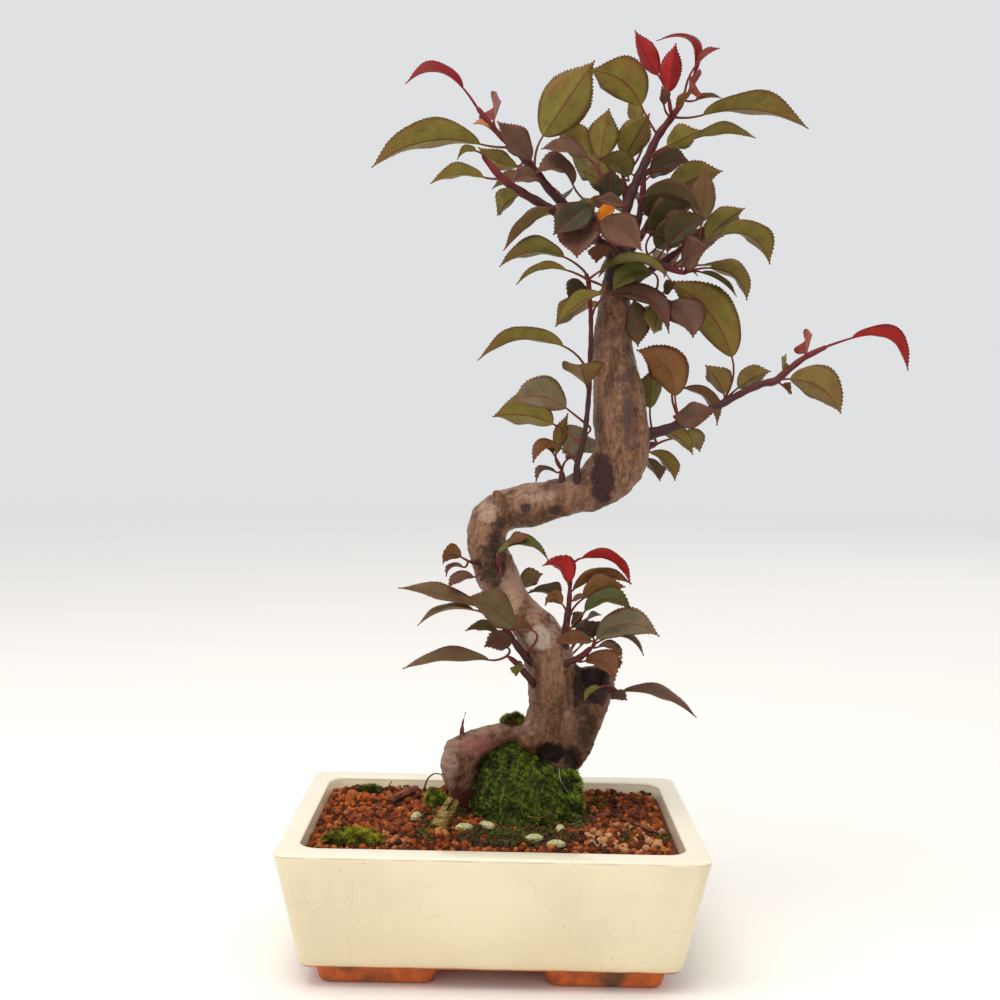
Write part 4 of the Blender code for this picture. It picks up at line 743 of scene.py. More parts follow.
# %% Where the leaves are
# A shoot's first row is its stem: points with the pixel, the depth in mm and the radius in pixels. Its other rows
# are leaves: the pixels of the stalk's foot, of the blade's base and of its tip, the depths of base and tip in mm,
# the blade's rise and width in mm, and its turn and fold in degrees.
SHOOTS = {
    "shoot_crown_left": (
        ((616, 232, 0, 5), (598, 221, -2, 5), (577, 213, -5, 4.6), (556, 197, -8, 4.4),
         (535, 171, -11, 4.2), (513, 147, -13, 3.6), (496, 131, -14, 3), (476, 106, -15, 2.4)),
        ((477, 107), (463, 88), (405, 84), -16, -20, 7, 13, 25, 25),
        ((512, 150), (480, 144), (371, 168), -14, -14, 7, 24, -38, 24),
        ((500, 136), (490, 128), (473, 124), -16, -18, 1, 7, 20, 20),
        ((497, 131), (494, 119), (501, 101), -15, 2, 0, 20, 5, 38),
        ((536, 171), (543, 136), (595, 60), -12, -14, 0, 26, -78, 10),
        ((532, 167), (531, 160), (497, 121), -15, -22, 0, 16, 60, 20),
        ((548, 190), (537, 178), (513, 183), -16, -26, 2, 12, 55, 20),
        ((524, 160), (517, 166), (478, 147), -9, -8, -2, 12, -58, 18),
        ((566, 203), (550, 209), (503, 251), -12, -18, 1, 16, -25, 24),
    ),
    "shoot_crown_left_low": (
        ((615, 252, 0, 4.4), (596, 239, -5, 4.4), (572, 223, -10, 4.2), (547, 207, -14, 4.6),
         (521, 192, -16, 4.4), (502, 178, -17, 4), (482, 155, -18, 2.6)),
        ((503, 180), (483, 177), (430, 184), -20, -22, 3, 13, -35, 22),
        ((494, 169), (476, 151), (457, 160), -21, -24, 2, 9, -20, 20),
        ((528, 195), (518, 195), (497, 216), -20, -28, 1, 16, -40, 26),
        ((566, 217), (590, 206), (553, 235), -20, -30, 0, 20, 62, 18),
        ((588, 227), (586, 221), (577, 258), -18, -32, 1, 23, 74, 16),
        ((596, 230), (594, 214), (575, 202), -16, -26, 0, 12, 50, 20),
    ),
    "shoot_crown_right": (
        ((620, 238, 2, 5), (625, 215, 3, 4.8), (631, 196, 4, 4.8), (637, 180, 4, 4.6),
         (647, 159, 4, 4.4), (658, 136, 3, 4), (672, 117, 2, 3.4), (684, 100, 1, 2.6)),
        ((657, 138), (641, 105), (588, 71), 0, -16, 5, 25, -62, 14),
        ((671, 118), (658, 75), (635, 30), 3, 4, -1, 13, -62, 25),
        ((672, 116), (669, 92), (676, 43), -4, -6, 0, 13, -72, 22),
        ((683, 101), (694, 75), (656, 41), 1, 4, 11, 12, 12, 20),
        ((685, 99), (697, 64), (720, 48), -1, 2, 1, 8, 30, 30),
        ((682, 103), (690, 92), (690, 77), -5, -20, 0, 20, -5, 40),
        ((673, 117), (676, 108), (692, 92), -3, -8, 0, 8, 40, 25),
        ((684, 101), (696, 100), (722, 98), 5, 8, 1, 8, 20, 20),
        ((670, 119), (664, 105), (662, 86), -6, -10, 0, 8, 45, 20),
        ((668, 122), (703, 115), (809, 129), 2, 2, 6, 23, -32, 22),
        ((650, 154), (690, 140), (756, 138), 6, 8, 3, 14, -28, 22),
        ((649, 156), (667, 146), (701, 130), -4, -9, 0, 15, -60, 18),
    ),
    "spur_crown_centre": (
        ((618, 246, -7, 3.6), (609, 229, -12, 3.6), (603, 208, -13, 3.2), (601, 196, -12, 2.6)),
        ((601, 198), (600, 158), (609, 108), -6, -8, 0, 17, -80, 14),
        ((601, 200), (590, 160), (553, 124), -2, -2, 1, 20, -55, 18),
        ((601, 203), (588, 158), (541, 149), -8, -12, 2, 15, 35, 20),
        ((602, 205), (573, 185), (535, 174), -8, -10, 6, 20, 28, 20),
        ((603, 204), (610, 199), (612, 168), -14, -22, 0, 17, 80, 16),
        ((603, 212), (624, 204), (597, 199), -16, -24, 0, 9, 48, 20),
    ),
    "spur_crown_back": (
        ((622, 232, 8, 4.4), (626, 212, 14, 4), (625, 192, 17, 3.4), (623, 178, 18, 2.6)),
        ((624, 184), (624, 158), (650, 113), 14, 8, 0, 20, -62, 16),
        ((624, 183), (628, 177), (600, 160), 10, 2, 3, 17, -50, 18),
        ((624, 181), (640, 125), (628, 101), 18, 20, 0, 11, -60, 18),
        ((625, 188), (640, 178), (673, 170), 12, 8, 1, 10, -14, 20),
        ((625, 192), (594, 176), (570, 152), 22, 34, 1, 20, -60, 16),
        ((625, 190), (650, 176), (690, 162), 22, 34, 3, 20, -50, 18),
        ((626, 212), (644, 214), (678, 196), 8, 6, 1, 19, -62, 16),
        ((625, 206), (612, 190), (580, 170), 14, 18, 1, 18, -56, 18),
    ),
    "spur_crown_front": (
        ((622, 264, -6, 3.6), (615, 250, -13, 3.6), (605, 232, -18, 3)),
        ((604, 228), (598, 220), (616, 207), -17, -23, 0, 10, 62, 16),
        ((606, 234), (601, 221), (642, 251), -28, -36, 2, 18, 80, 16),
        ((609, 236), (606, 245), (596, 263), -12, -16, 0, 15, 45, 20),
    ),
    "shoot_crown_far_right": (
        ((622, 256, -2, 4.4), (640, 258, -3, 4.4), (656, 263, -5, 4), (670, 268, -6, 3.6),
         (684, 274, -7, 2.8)),
        ((684, 274), (720, 234), (770, 265), -4, -2, 7, 21, -34, 22),
        ((678, 270), (706, 240), (745, 208), 0, 4, 1, 17, -58, 18),
        ((676, 270), (702, 222), (706, 167), -8, -10, 0, 15, -72, 16),
        ((683, 274), (683, 263), (708, 248), -12, -28, 1, 20, 58, 18),
        ((680, 272), (710, 268), (747, 301), -8, -10, 5, 17, -34, 22),
        ((681, 273), (701, 272), (737, 297), -12, -14, 2, 9, -16, 20),
        ((676, 269), (704, 265), (743, 271), 4, 6, 1, 9, 10, 20),
        ((660, 265), (668, 244), (708, 218), -14, -22, 2, 24, -40, 18),
        ((652, 262), (650, 236), (700, 202), 4, 2, 3, 24, -46, 18),
        ((648, 260), (656, 248), (694, 228), 8, 10, 2, 20, -56, 16),
        ((668, 268), (688, 254), (724, 236), 10, 14, 2, 17, -48, 18),
    ),
    "spur_high_right": (
        ((624, 260, 4, 3.6), (641, 236, 8, 3.4), (652, 215, 9, 2.6)),
        ((651, 218), (669, 195), (723, 171), 8, 4, 2, 20, -68, 16),
        ((650, 219), (645, 196), (706, 221), 2, -6, 6, 18, -30, 20),
        ((636, 242), (654, 232), (684, 246), 8, 10, 2, 16, -46, 18),
    ),
    "spur_mid_right": (
        ((617, 290, -3, 4), (634, 297, -6, 3.6), (652, 301, -8, 3.4), (667, 301, -9, 2.8)),
        ((665, 301), (672, 302), (693, 338), -12, -20, 3, 20, 62, 18),
        ((663, 301), (667, 304), (684, 327), -6, -8, 1, 16, 50, 18),
        ((655, 301), (650, 272), (613, 292), -16, -20, 4, 14, 60, 20),
        ((636, 297), (634, 301), (638, 347), -13, -13, 0, 15, -70, 22),
        ((660, 301), (664, 292), (676, 283), -14, -20, 0, 9, 50, 20),
        ((652, 301), (662, 306), (654, 334), -8, -12, 1, 14, -56, 18),
    ),
    "shoot_left_upright": (
        ((577, 484, -8, 4), (577, 466, -11, 3.2), (582, 446, -12, 2.9), (586, 424, -12, 2.7),
         (589, 392, -12, 2.6), (590, 360, -12, 2.5), (591, 330, -12, 2.4), (590, 300, -12, 2.2),
         (588, 280, -12, 2.6), (585, 272, -12, 2.4)),
        ((586, 274), (564, 257), (499, 267), -12, -13, 5, 18, -34, 22),
        ((587, 279), (566, 270), (516, 285), -14, -16, 4, 10, -24, 22),
        ((589, 284), (586, 287), (568, 299), -15, -22, 1, 14, 70, 18),
        ((590, 290), (583, 297), (555, 327), -12, -13, 0, 14, -48, 20),
        ((591, 288), (600, 293), (558, 323), -8, -6, 2, 13, -38, 20),
        ((588, 277), (602, 270), (671, 280), -14, -20, 7, 12, 30, 22),
        ((591, 338), (614, 294), (669, 334), -15, -21, 8, 16, 42, 20),
        ((589, 382), (563, 346), (477, 361), -12, -15, 7, 17, -28, 24),
        ((589, 391), (586, 384), (581, 364), -14, -36, 0, 25, 4, 30),
        ((586, 427), (566, 408), (512, 401), -13, -20, 4, 23, 52, 20),
        ((581, 451), (553, 424), (492, 417), -14, -14, 3, 24, -46, 20),
        ((578, 460), (562, 449), (533, 463), -17, -23, 5, 10, 40, 20),
        ((584, 434), (588, 433), (562, 453), -4, 10, 0, 20, 60, 18),
        ((580, 456), (583, 452), (602, 441), -4, 8, 0, 15, 58, 18),
    ),
    "spur_bend_top": (
        ((562, 492, -6, 3.6), (562, 478, -7, 3.4), (562, 470, -8, 2.6)),
        ((561, 473), (556, 472), (536, 482), -10, -14, 4, 8, 24, 20),
        ((562, 472), (556, 454), (568, 413), -9, -11, 0, 9, -60, 20),
        ((561, 474), (553, 453), (544, 439), -12, -16, 0, 8, 40, 20),
        ((563, 471), (567, 460), (573, 456), -6, -3, 0, 6, 30, 20),
    ),
    "shoot_right": (
        ((636, 440, 0, 6.5), (650, 434, -1, 6.2), (668, 429, -2, 5.2), (681, 423, -3, 4.8),
         (702, 413, -4, 4), (720, 405, -5, 3.8), (742, 393, -6, 3.4), (762, 384, -7, 3.6),
         (775, 381, -8, 4), (786, 372, -8, 3.4), (804, 358, -9, 3), (828, 346, -10, 2.6)),
        ((827, 347), (852, 338), (908, 371), -11, -13, 9, 17, -24, 22),
        ((802, 360), (806, 353), (812, 334), -10, 4, 0, 17, 8, 36),
        ((785, 373), (783, 368), (782, 357), -9, 2, 0, 12, 8, 34),
        ((777, 380), (790, 379), (841, 414), -10, -16, 5, 22, -56, 18),
        ((775, 382), (782, 385), (792, 394), -8, -6, 0, 9, 30, 20),
        ((719, 406), (724, 394), (705, 365), -7, -10, 1, 16, -52, 20),
        ((724, 403), (738, 388), (771, 371), -6, -7, 1, 15, -50, 20),
        ((724, 402), (732, 357), (665, 280), -3, -8, 6, 26, -66, 14),
        ((677, 424), (675, 396), (636, 350), -4, -8, 6, 22, -70, 14),
        ((681, 422), (676, 416), (717, 409), -9, -18, -2, 15, 66, 20),
        ((683, 421), (684, 388), (717, 426), 4, 8, 6, 11, -40, 20),
    ),
    "spur_right_back": (
        ((628, 448, 4, 4.6), (646, 446, 10, 4), (657, 444, 13, 3)),
        ((650, 445), (658, 430), (693, 455), 14, 16, 3, 13, -44, 20),
        ((654, 444), (650, 452), (675, 481), 15, 18, 3, 14, -38, 20),
        ((656, 444), (650, 408), (652, 368), 14, 12, 0, 15, -66, 18),
        ((652, 445), (648, 458), (660, 481), 20, 28, 0, 13, -40, 20),
        ((656, 444), (676, 438), (700, 452), 22, 34, 3, 17, -40, 20),
    ),
    "spur_bend_left": (
        ((484, 562, -6, 3.2), (473, 562, -9, 3.2), (468, 561, -10, 2.2)),
        ((470, 561), (461, 557), (443, 564), -10, -12, 3, 12, -42, 22),
        ((469, 562), (463, 567), (446, 577), -12, -14, 3, 7, 20, 20),
        ((474, 563), (474, 577), (448, 588), -14, -20, 2, 10, 40, 20),
    ),
    "spur_under_bend": (
        ((501, 572, -6, 3.2), (499, 564, -12, 3.2), (498, 558, -14, 2.2)),
        ((498, 560), (498, 553), (549, 561), -16, -20, 7, 12, 30, 22),
        ((499, 562), (508, 545), (530, 537), -13, -9, 1, 9, 40, 20),
        ((500, 565), (497, 575), (480, 581), -17, -22, 1, 10, 66, 20),
    ),
    "shoot_lower_left": (
        ((536, 668, -8, 4), (524, 655, -13, 3.8), (513, 640, -16, 3.4), (504, 626, -18, 3),
         (496, 618, -19, 2.4)),
        ((498, 620), (477, 606), (398, 588), -18, -20, 2, 12, 46, 18),
        ((500, 622), (474, 610), (417, 626), -22, -27, 4, 12, 14, 22),
        ((506, 630), (513, 627), (466, 597), -24, -32, 2, 20, 60, 18),
        ((507, 631), (498, 634), (465, 631), -16, -16, 2, 11, -30, 22),
        ((515, 643), (512, 641), (484, 647), -22, -28, 1, 13, 64, 20),
        ((522, 652), (532, 630), (512, 629), -20, -28, 1, 11, 46, 20),
    ),
    "spur_lower_left": (
        ((538, 690, -6, 3.4), (528, 677, -14, 3.4), (515, 662, -17, 2.8), (507, 656, -17, 2.2)),
        ((508, 656), (489, 660), (402, 669), -16, -18, 3, 15, 32, 20),
        ((516, 659), (521, 664), (516, 676), -18, -20, 0, 9, 44, 20),
        ((512, 657), (508, 648), (496, 640), -12, -6, 0, 9, 30, 20),
    ),
    "shoot_lower_right": (
        ((563, 656, -6, 4.6), (565, 638, -12, 4.4), (567, 620, -15, 3.8), (569, 604, -16, 2.8),
         (570, 586, -16, 2.2), (571, 568, -16, 1.8)),
        ((571, 569), (582, 558), (631, 585), -17, -20, 6, 14, -24, 22),
        ((570, 592), (568, 583), (542, 566), -18, -20, 5, 15, -36, 24),
        ((570, 598), (573, 590), (632, 584), -14, -12, 5, 14, -30, 22),
        ((569, 615), (584, 598), (626, 587), -18, -24, 2, 17, -44, 20),
        ((568, 632), (585, 611), (633, 612), -19, -24, 7, 13, 46, 20),
        ((569, 606), (572, 601), (586, 596), -19, -22, 0, 7, 30, 20),
        ((567, 617), (562, 604), (545, 606), -17, -20, 3, 11, -34, 22),
        ((567, 628), (572, 627), (585, 612), -21, -26, 0, 9, 44, 20),
        ((570, 590), (566, 574), (568, 561), -12, -2, 0, 12, -20, 30),
    ),
    "spur_lower_right": (
        ((556, 672, -8, 3.8), (567, 663, -14, 3.6), (579, 658, -17, 3.4), (592, 647, -19, 3)),
        ((592, 647), (597, 639), (660, 637), -20, -24, 7, 18, 60, 18),
        ((592, 647), (600, 641), (644, 656), -22, -27, 6, 11, 22, 22),
        ((591, 648), (598, 647), (622, 659), -24, -28, 3, 9, 32, 20),
        ((590, 649), (593, 637), (585, 620), -16, -12, 0, 15, 60, 18),
        ((590, 649), (592, 641), (556, 643), -24, -30, 1, 12, 42, 20),
        ((583, 656), (585, 661), (615, 681), -23, -30, 5, 15, 56, 20),
        ((586, 654), (604, 656), (620, 668), -20, -24, 1, 9, 50, 20),
    ),
    "spur_limb": (
        ((600, 690, -6, 3.4), (611, 690, -11, 3.4), (617, 691, -13, 2.6)),
        ((616, 691), (623, 691), (697, 718), -14, -18, 4, 15, 26, 22),
        ((614, 691), (612, 694), (627, 700), -16, -20, 0, 9, 52, 20),
        ((614, 691), (600, 687), (584, 701), -20, -22, 1, 8, -30, 20),
    ),
    "spur_lower_back": (
        ((516, 604, 4, 3.8), (520, 598, 9, 3.4), (522, 592, 12, 2.6)),
        ((521, 594), (523, 587), (543, 574), 13, 14, 1, 14, -52, 20),
        ((521, 594), (511, 584), (480, 580), 17, 22, 3, 15, -40, 20),
        ((522, 592), (531, 592), (560, 602), 18, 32, 3, 17, -30, 20),
    ),
}
# Shoots that the picture hides: the stem's points, how many leaves it has, and their length in mm.
BACK_SHOOTS = {
    "spur_back_top": (((620, 268, 6, 4.4), (634, 238, 19, 3.8), (642, 200, 26, 3.2), (644, 170, 28, 2.4)), 5, 34),
    "spur_back_left": (((610, 256, 6, 4.4), (588, 232, 18, 3.8), (566, 206, 23, 3.2), (556, 190, 25, 2.4)), 5, 34),
    "spur_back_right": (((628, 286, 6, 4.4), (654, 268, 18, 3.8), (680, 250, 23, 3.2), (694, 238, 25, 2.4)), 5, 34),
    "spur_back_mid": (((616, 330, 6, 4), (622, 314, 18, 3.4), (628, 302, 23, 2.6)), 4, 34),
    "spur_back_low": (((560, 676, 8, 3.8), (566, 660, 17, 3.2), (572, 648, 23, 2.4)), 4, 30),
}
STEM_STEP = 0.008
# The hidden leaves begin at this share of the stem, each turned on by the golden angle. They stand off to the back,
# and rise, arch and turn by these ranges and shares of their length.
GOLDEN_ANGLE = math.radians(137.5)
BACK_FROM = 0.35
BACK_AWAY = (0.35, 0.65)
BACK_LIFT = (-0.15, 0.45)
BACK_LENGTH = (0.8, 1.05)
BACK_STALK = 0.010
STALK_RISE = 0.5
BLADE_DROOP = 0.1
BACK_ARCH = 0.12
BACK_WIDTH = 0.46
BACK_TURN = (-35, 5)
BACK_FOLD = 20
BACK_LOOKS = "GUMDK"
# How often a hidden leaf is tried, and the turn from one try to the next.
TRIES = 24
TRY_TURN = 0.35
# How far in depth a pictured leaf's tip is moved, in mm, what share of that its base moves, and how near to the
# solid's surface a place has to be.
TIP_MOVES = (5, 9, 13, 18, 23, 29)
BASE_SHARES = (0, 0.4, 0.9)
ON_SOLID = 0.0001

# The look of each leaf in its shoot, in the order of its rows, as a letter of FACES.
LOOKS = {
    "shoot_crown_left": "RUTCUMMUM", "shoot_crown_left_low": "UUGDMG", "shoot_crown_right": "URRRCCOOMUUU",
    "spur_crown_centre": "UUMMDM", "spur_crown_back": "UGUOGDDU", "spur_crown_front": "YPO",
    "shoot_crown_far_right": "UUMMKDGDDDD", "spur_high_right": "UDD", "spur_mid_right": "MDGDDG",
    "shoot_left_upright": "GUDGUUMUKSUOSS", "spur_bend_top": "MUDM", "shoot_right": "RCUKOKKUOMM",
    "spur_right_back": "UUGDG", "spur_bend_left": "OMM", "spur_under_bend": "GOD", "shoot_lower_left": "KKKDPO",
    "spur_lower_left": "KUM", "shoot_lower_right": "RROOVMODC", "spur_lower_right": "SMMDOOM", "spur_limb": "MMG",
    "spur_lower_back": "SGD",
}

# Each look's upper face and underside.
FACES = {
    "U": (screen(98, 92, 36), screen(120, 110, 44)), "M": (screen(92, 70, 52), screen(108, 92, 52)),
    # D is painted shade: a leaf painted dark because it hangs in the crown's shadow, inside it or at its back.
    "G": (screen(80, 88, 36), screen(110, 106, 48)), "D": (screen(48, 48, 24), screen(70, 66, 32)),
    "V": (screen(60, 70, 22), screen(84, 90, 34)), "R": (screen(122, 10, 13), screen(154, 26, 24)),
    "C": (screen(126, 38, 30), screen(160, 78, 58)), "O": (screen(100, 64, 32), screen(118, 84, 42)),
    "Y": (screen(214, 132, 14), screen(190, 130, 40)), "K": (screen(100, 86, 52), screen(112, 98, 48)),
    "S": (screen(112, 102, 74), screen(116, 106, 62)), "P": (screen(82, 60, 38), screen(96, 74, 46)),
    "T": (screen(168, 112, 70), screen(160, 116, 78)),
}


# A leaf points at the eye when the cosine between them is over this, and stands upright when its face rises less.
END_ON = 0.9
UPRIGHT = 0.2


class Leaf:
    """The frame of one leaf: its stalk's foot, its blade's base and tip, and which way its upper face looks."""

    def __init__(self, foot, base, tip, rise, wide, turn, fold):
        self.foot, self.base, self.tip = foot, base, tip
        self.wide, self.fold = wide, math.radians(fold)
        chord = (tip - base).normalized()
        to_eye = (EYE + MIDDLE - base).normalized()
        if abs(chord.dot(to_eye)) < END_ON:
            front = (to_eye - chord * to_eye.dot(chord)).normalized()
            upper = chord.cross(front)
            if upper.z < 0 or (abs(upper.z) < UPRIGHT and upper.x < 0):
                upper.negate()
        else:
            upper = (Vector((0, 0, 1)) - chord * chord.z).normalized()
            front = chord.cross(upper)
        self.face = upper * math.cos(math.radians(turn)) + front * math.sin(math.radians(turn))
        self.bend = (base + tip) / 2 + upper * (2 * rise)
        self.knee = base - (self.bend - base).normalized() * (base - foot).length * 0.5


def depth_shifts():
    """How far a leaf is turned in depth at its tip and its base, from none outwards, in mm."""
    steps = [(0, 0)]
    for reach in TIP_MOVES:
        for base in BASE_SHARES:
            steps += [(-reach, -reach * base), (reach, reach * base)]
    return steps


def miss(tree, place):
    """How far a place lies from a solid's surface."""
    return tree.find_nearest(place)[3]


def stem_foot(path, where):
    """The point of a stem's path that is nearest to a place's line of sight."""
    ray = (where - EYE - MIDDLE).normalized()
    away = [Vector(p) - EYE - MIDDLE for p in path]
    return Vector(path[min(range(len(path)), key=lambda k: (away[k] - ray * away[k].dot(ray)).length)])


def pictured_leaves(name, stem, rows, tree):
    """Each row's leaf at the turn in depth that puts it best on the solid, or nothing where the solid has none."""
    path, _ = curve_through(stem, STEM_STEP)
    for row, look in zip(rows, LOOKS[name]):
        foot, base, tip, base_depth, tip_depth, rise, wide, turn, fold = row
        root = stem_foot(path, spot(*foot, 0))
        found = []
        for to_tip, to_base in depth_shifts():
            ends = spot(*base, base_depth + to_base), spot(*tip, tip_depth + to_tip)
            if miss(tree, ends[1]) < ON_SOLID:
                found.append((miss(tree, ends[0]), len(found), ends))
        if found:
            yield Leaf(root, *min(found)[2], rise * MM, wide * MM, turn, fold), look


def hidden_leaves(name, stem, count, long, tree):
    """The leaves at the back: the same seeded draws as the solid's, kept where they lie on it."""
    path, _ = curve_through(stem, STEM_STEP)
    chance = random.Random(name)
    for k in range(count):
        share = BACK_FROM + (1 - BACK_FROM) * (k + 0.5) / count
        root = Vector(path[min(len(path) - 1, round(share * (len(path) - 1)))])
        for attempt in range(TRIES):
            angle = k * GOLDEN_ANGLE + attempt * TRY_TURN
            back = BACK_AWAY[0] + BACK_AWAY[1] * abs(math.sin(angle))
            away = Vector((math.cos(angle), back, 0.0)).normalized()
            lift = chance.uniform(*BACK_LIFT)
            length = long * MM * chance.uniform(*BACK_LENGTH)
            turn = chance.uniform(*BACK_TURN)
            base = root + (away + Vector((0, 0, STALK_RISE + lift))).normalized() * BACK_STALK
            tip = base + (away + Vector((0, 0, lift - BLADE_DROOP))).normalized() * length
            if miss(tree, tip) < ON_SOLID:
                leaf = Leaf(root, base, tip, length * BACK_ARCH, length * BACK_WIDTH, turn, BACK_FOLD)
                yield leaf, BACK_LOOKS[k % len(BACK_LOOKS)]
                break


# %% [markdown]
# ### One fine leaf
#
# The blade is a grid of two numbers: s runs from base to tip, and v from one edge over the rib to the other. Its
# half width is a sine of s, with teeth where every other row stands out and forward. The upper and lower faces are
# 0.3 mm apart and meet at the edge, so the blade is one closed shell. A ridge under the rib carries the stalk on.

# %% One fine leaf
ACROSS = 4
TOOTH_LENGTH = 0.0013
TOOTH_DEPTH = 0.00028
TEETH = (5, 32)
# The powers of the outline, the least half width, and how far along the rib the last row lies.
PEAK, BLUNT, POINT = 0.88, 0.72, 0.7
LEAST_HALF = 0.00045
LAST_ROW = 0.995
# Heights in metres: half the thickness, the ridge under the rib, the groove over it, and the quilting between veins.
SKIN, RIDGE, GROOVE, QUILT = 0.00016, 0.00042, 0.00018, 0.00009
RIB_HALF = 0.0006
FULL_QUILT = 0.035
# The veins on each side and how far they lean forward, and the edge's wave: its height in half widths and its rate.
VEINS, VEIN_LEAN = 7, 1.5
EDGE_WAVE, EDGE_RATE = 0.09, 11
FULL_TURN = 6.28
BLUSH = np.array(screen(122, 50, 44))
STALK_TINT = np.array(screen(112, 34, 40))
STALK_RADII = np.linspace(0.00070, 0.00050, 7)
STALK_SIDES = 7
# A place off the UV map's square, which tells the finish that this is no blade.
OFF_BLADE = 9.0


def blade_section():
    """Points round the blade from edge to edge and back below: v from -1 to 1, and 1 for the points below."""
    t = np.linspace(-1, 1, 2 * ACROSS + 1)
    v = np.sign(t) * np.abs(t) ** 1.25
    v = np.concatenate([v, v[-2:0:-1]])
    return v[None, :], np.where(np.arange(len(v)) < len(t), 0.0, 1.0)[None, :]


V, LOWER = blade_section()


def bezier(a, b, c, s):
    """Places and directions on a curve from a to c that is drawn towards b."""
    a, b, c, s = np.array(a), np.array(b), np.array(c), s[:, None]
    return a * (1 - s) ** 2 + b * 2 * s * (1 - s) + c * s * s, unit((b - a) * (1 - s) + (c - b) * s)


def blade_edge(leaf, s, chance):
    """The half width of each row, and how far its tooth stands out: every other row is a notch, so below nothing."""
    half = 0.5 * leaf.wide * np.sin(np.pi * np.clip(s, 0.0005, 1) ** PEAK) ** (BLUNT + POINT * s)
    half = np.maximum(half, LEAST_HALF)
    bite = TOOTH_DEPTH * np.clip(s * 4 - 0.6, 0, 1) * np.array([[chance.uniform(0.2, 1.7)] for _ in s])
    bite = np.minimum(bite, 0.2 * half)
    return half, np.where(np.arange(len(s))[:, None] % 2 == 1, bite, -bite)


def blade_relief(leaf, s, half, phase, length):
    """How high each point stands off the rib: the fold, the edge's wave, the veins and the skin's two sides."""
    out = np.abs(V)
    spread = out * half
    wave = EDGE_WAVE * half * np.sin(s * EDGE_RATE + phase + np.sign(V)) * out ** 2
    veins = np.cos(2 * np.pi * (s * VEINS - out * VEIN_LEAN)) * np.sin(np.pi * out)
    quilt = -QUILT * np.clip(veins, -0.3, 1.0) * np.clip(length / FULL_QUILT, 0.3, 1.0)
    skin = np.where(np.isclose(out, 1.0), 0.0, np.where(LOWER == 1, -SKIN, SKIN))
    near_rib = np.exp(-(spread / RIB_HALF) ** 2)
    ridge = -RIDGE * LOWER * near_rib * (1 - 0.7 * s)
    groove = -GROOVE * (1 - LOWER) * near_rib
    return spread * math.sin(leaf.fold) + wave + quilt + skin + ridge + groove


def add_leaf(blocks, leaf, look, chance):
    """The blade, then the stalk as a thin tube.

    Half width: wide / 2 * sin(pi s^PEAK)^(BLUNT + POINT s). Rise from the fold: |v| half width sin(fold), with a wave
    of the edge. Veins: a cosine of 2 pi (VEINS s - VEIN_LEAN |v|), in step with the UV map that the finish reads."""
    length = (leaf.tip - leaf.base).length
    s = np.linspace(0.0, LAST_ROW, 2 * int(np.clip(length / TOOTH_LENGTH, *TEETH)) + 1)
    rib, along = bezier(leaf.base, leaf.bend, leaf.tip, s)
    face = np.array(leaf.face)
    normal = unit(face - along * (along @ face)[:, None])
    across = np.cross(along, normal)
    step, s = s[1] - s[0], s[:, None]
    half, tooth = blade_edge(leaf, s, chance)
    lift = blade_relief(leaf, s, half, chance.uniform(0, FULL_TURN), length)
    rim = np.abs(V) ** 12
    forward = (tooth > 0) * 0.7 * step * length * rim
    side = (V * half + np.sign(V) * tooth * rim) * math.cos(leaf.fold)
    rings = rib[:, None] + across[:, None] * side[..., None] + normal[:, None] * lift[..., None]
    rings = rings + along[:, None] * forward[..., None]
    upper, under = (np.array(colour) for colour in FACES[look])
    tint = (upper * (1 - LOWER.T) + under * LOWER.T) * (1 + chance.uniform(-0.10, 0.10))
    share = (0.25 * np.abs(V) ** 5 + 0.3 * s ** 4)[..., None]
    tints = tint[None] * (1 - share) + BLUSH * share
    uvs = np.stack(np.broadcast_arrays(s, 0.5 + 0.5 * V), axis=-1)
    blocks.tube(rings[:, ::-1], tints[:, ::-1], uvs[:, ::-1])
    rows = len(STALK_RADII)
    stalk, _ = bezier(leaf.foot, leaf.knee, leaf.base, np.linspace(0, 1, rows))
    red = STALK_TINT * 0.8 + tint[-1] * 0.2
    blocks.tube(sweep(stalk, STALK_RADII, STALK_SIDES), red, np.full((rows, STALK_SIDES, 2), OFF_BLADE))


# %% [markdown]
# ### The leaf's finish
#
# The mesh's own colours say which leaf is green, bronze or crimson. The rib is dark red and the side veins are
# faint and pressed in, both drawn from the UV map. A mottle and a purple blush break up the flat colour.

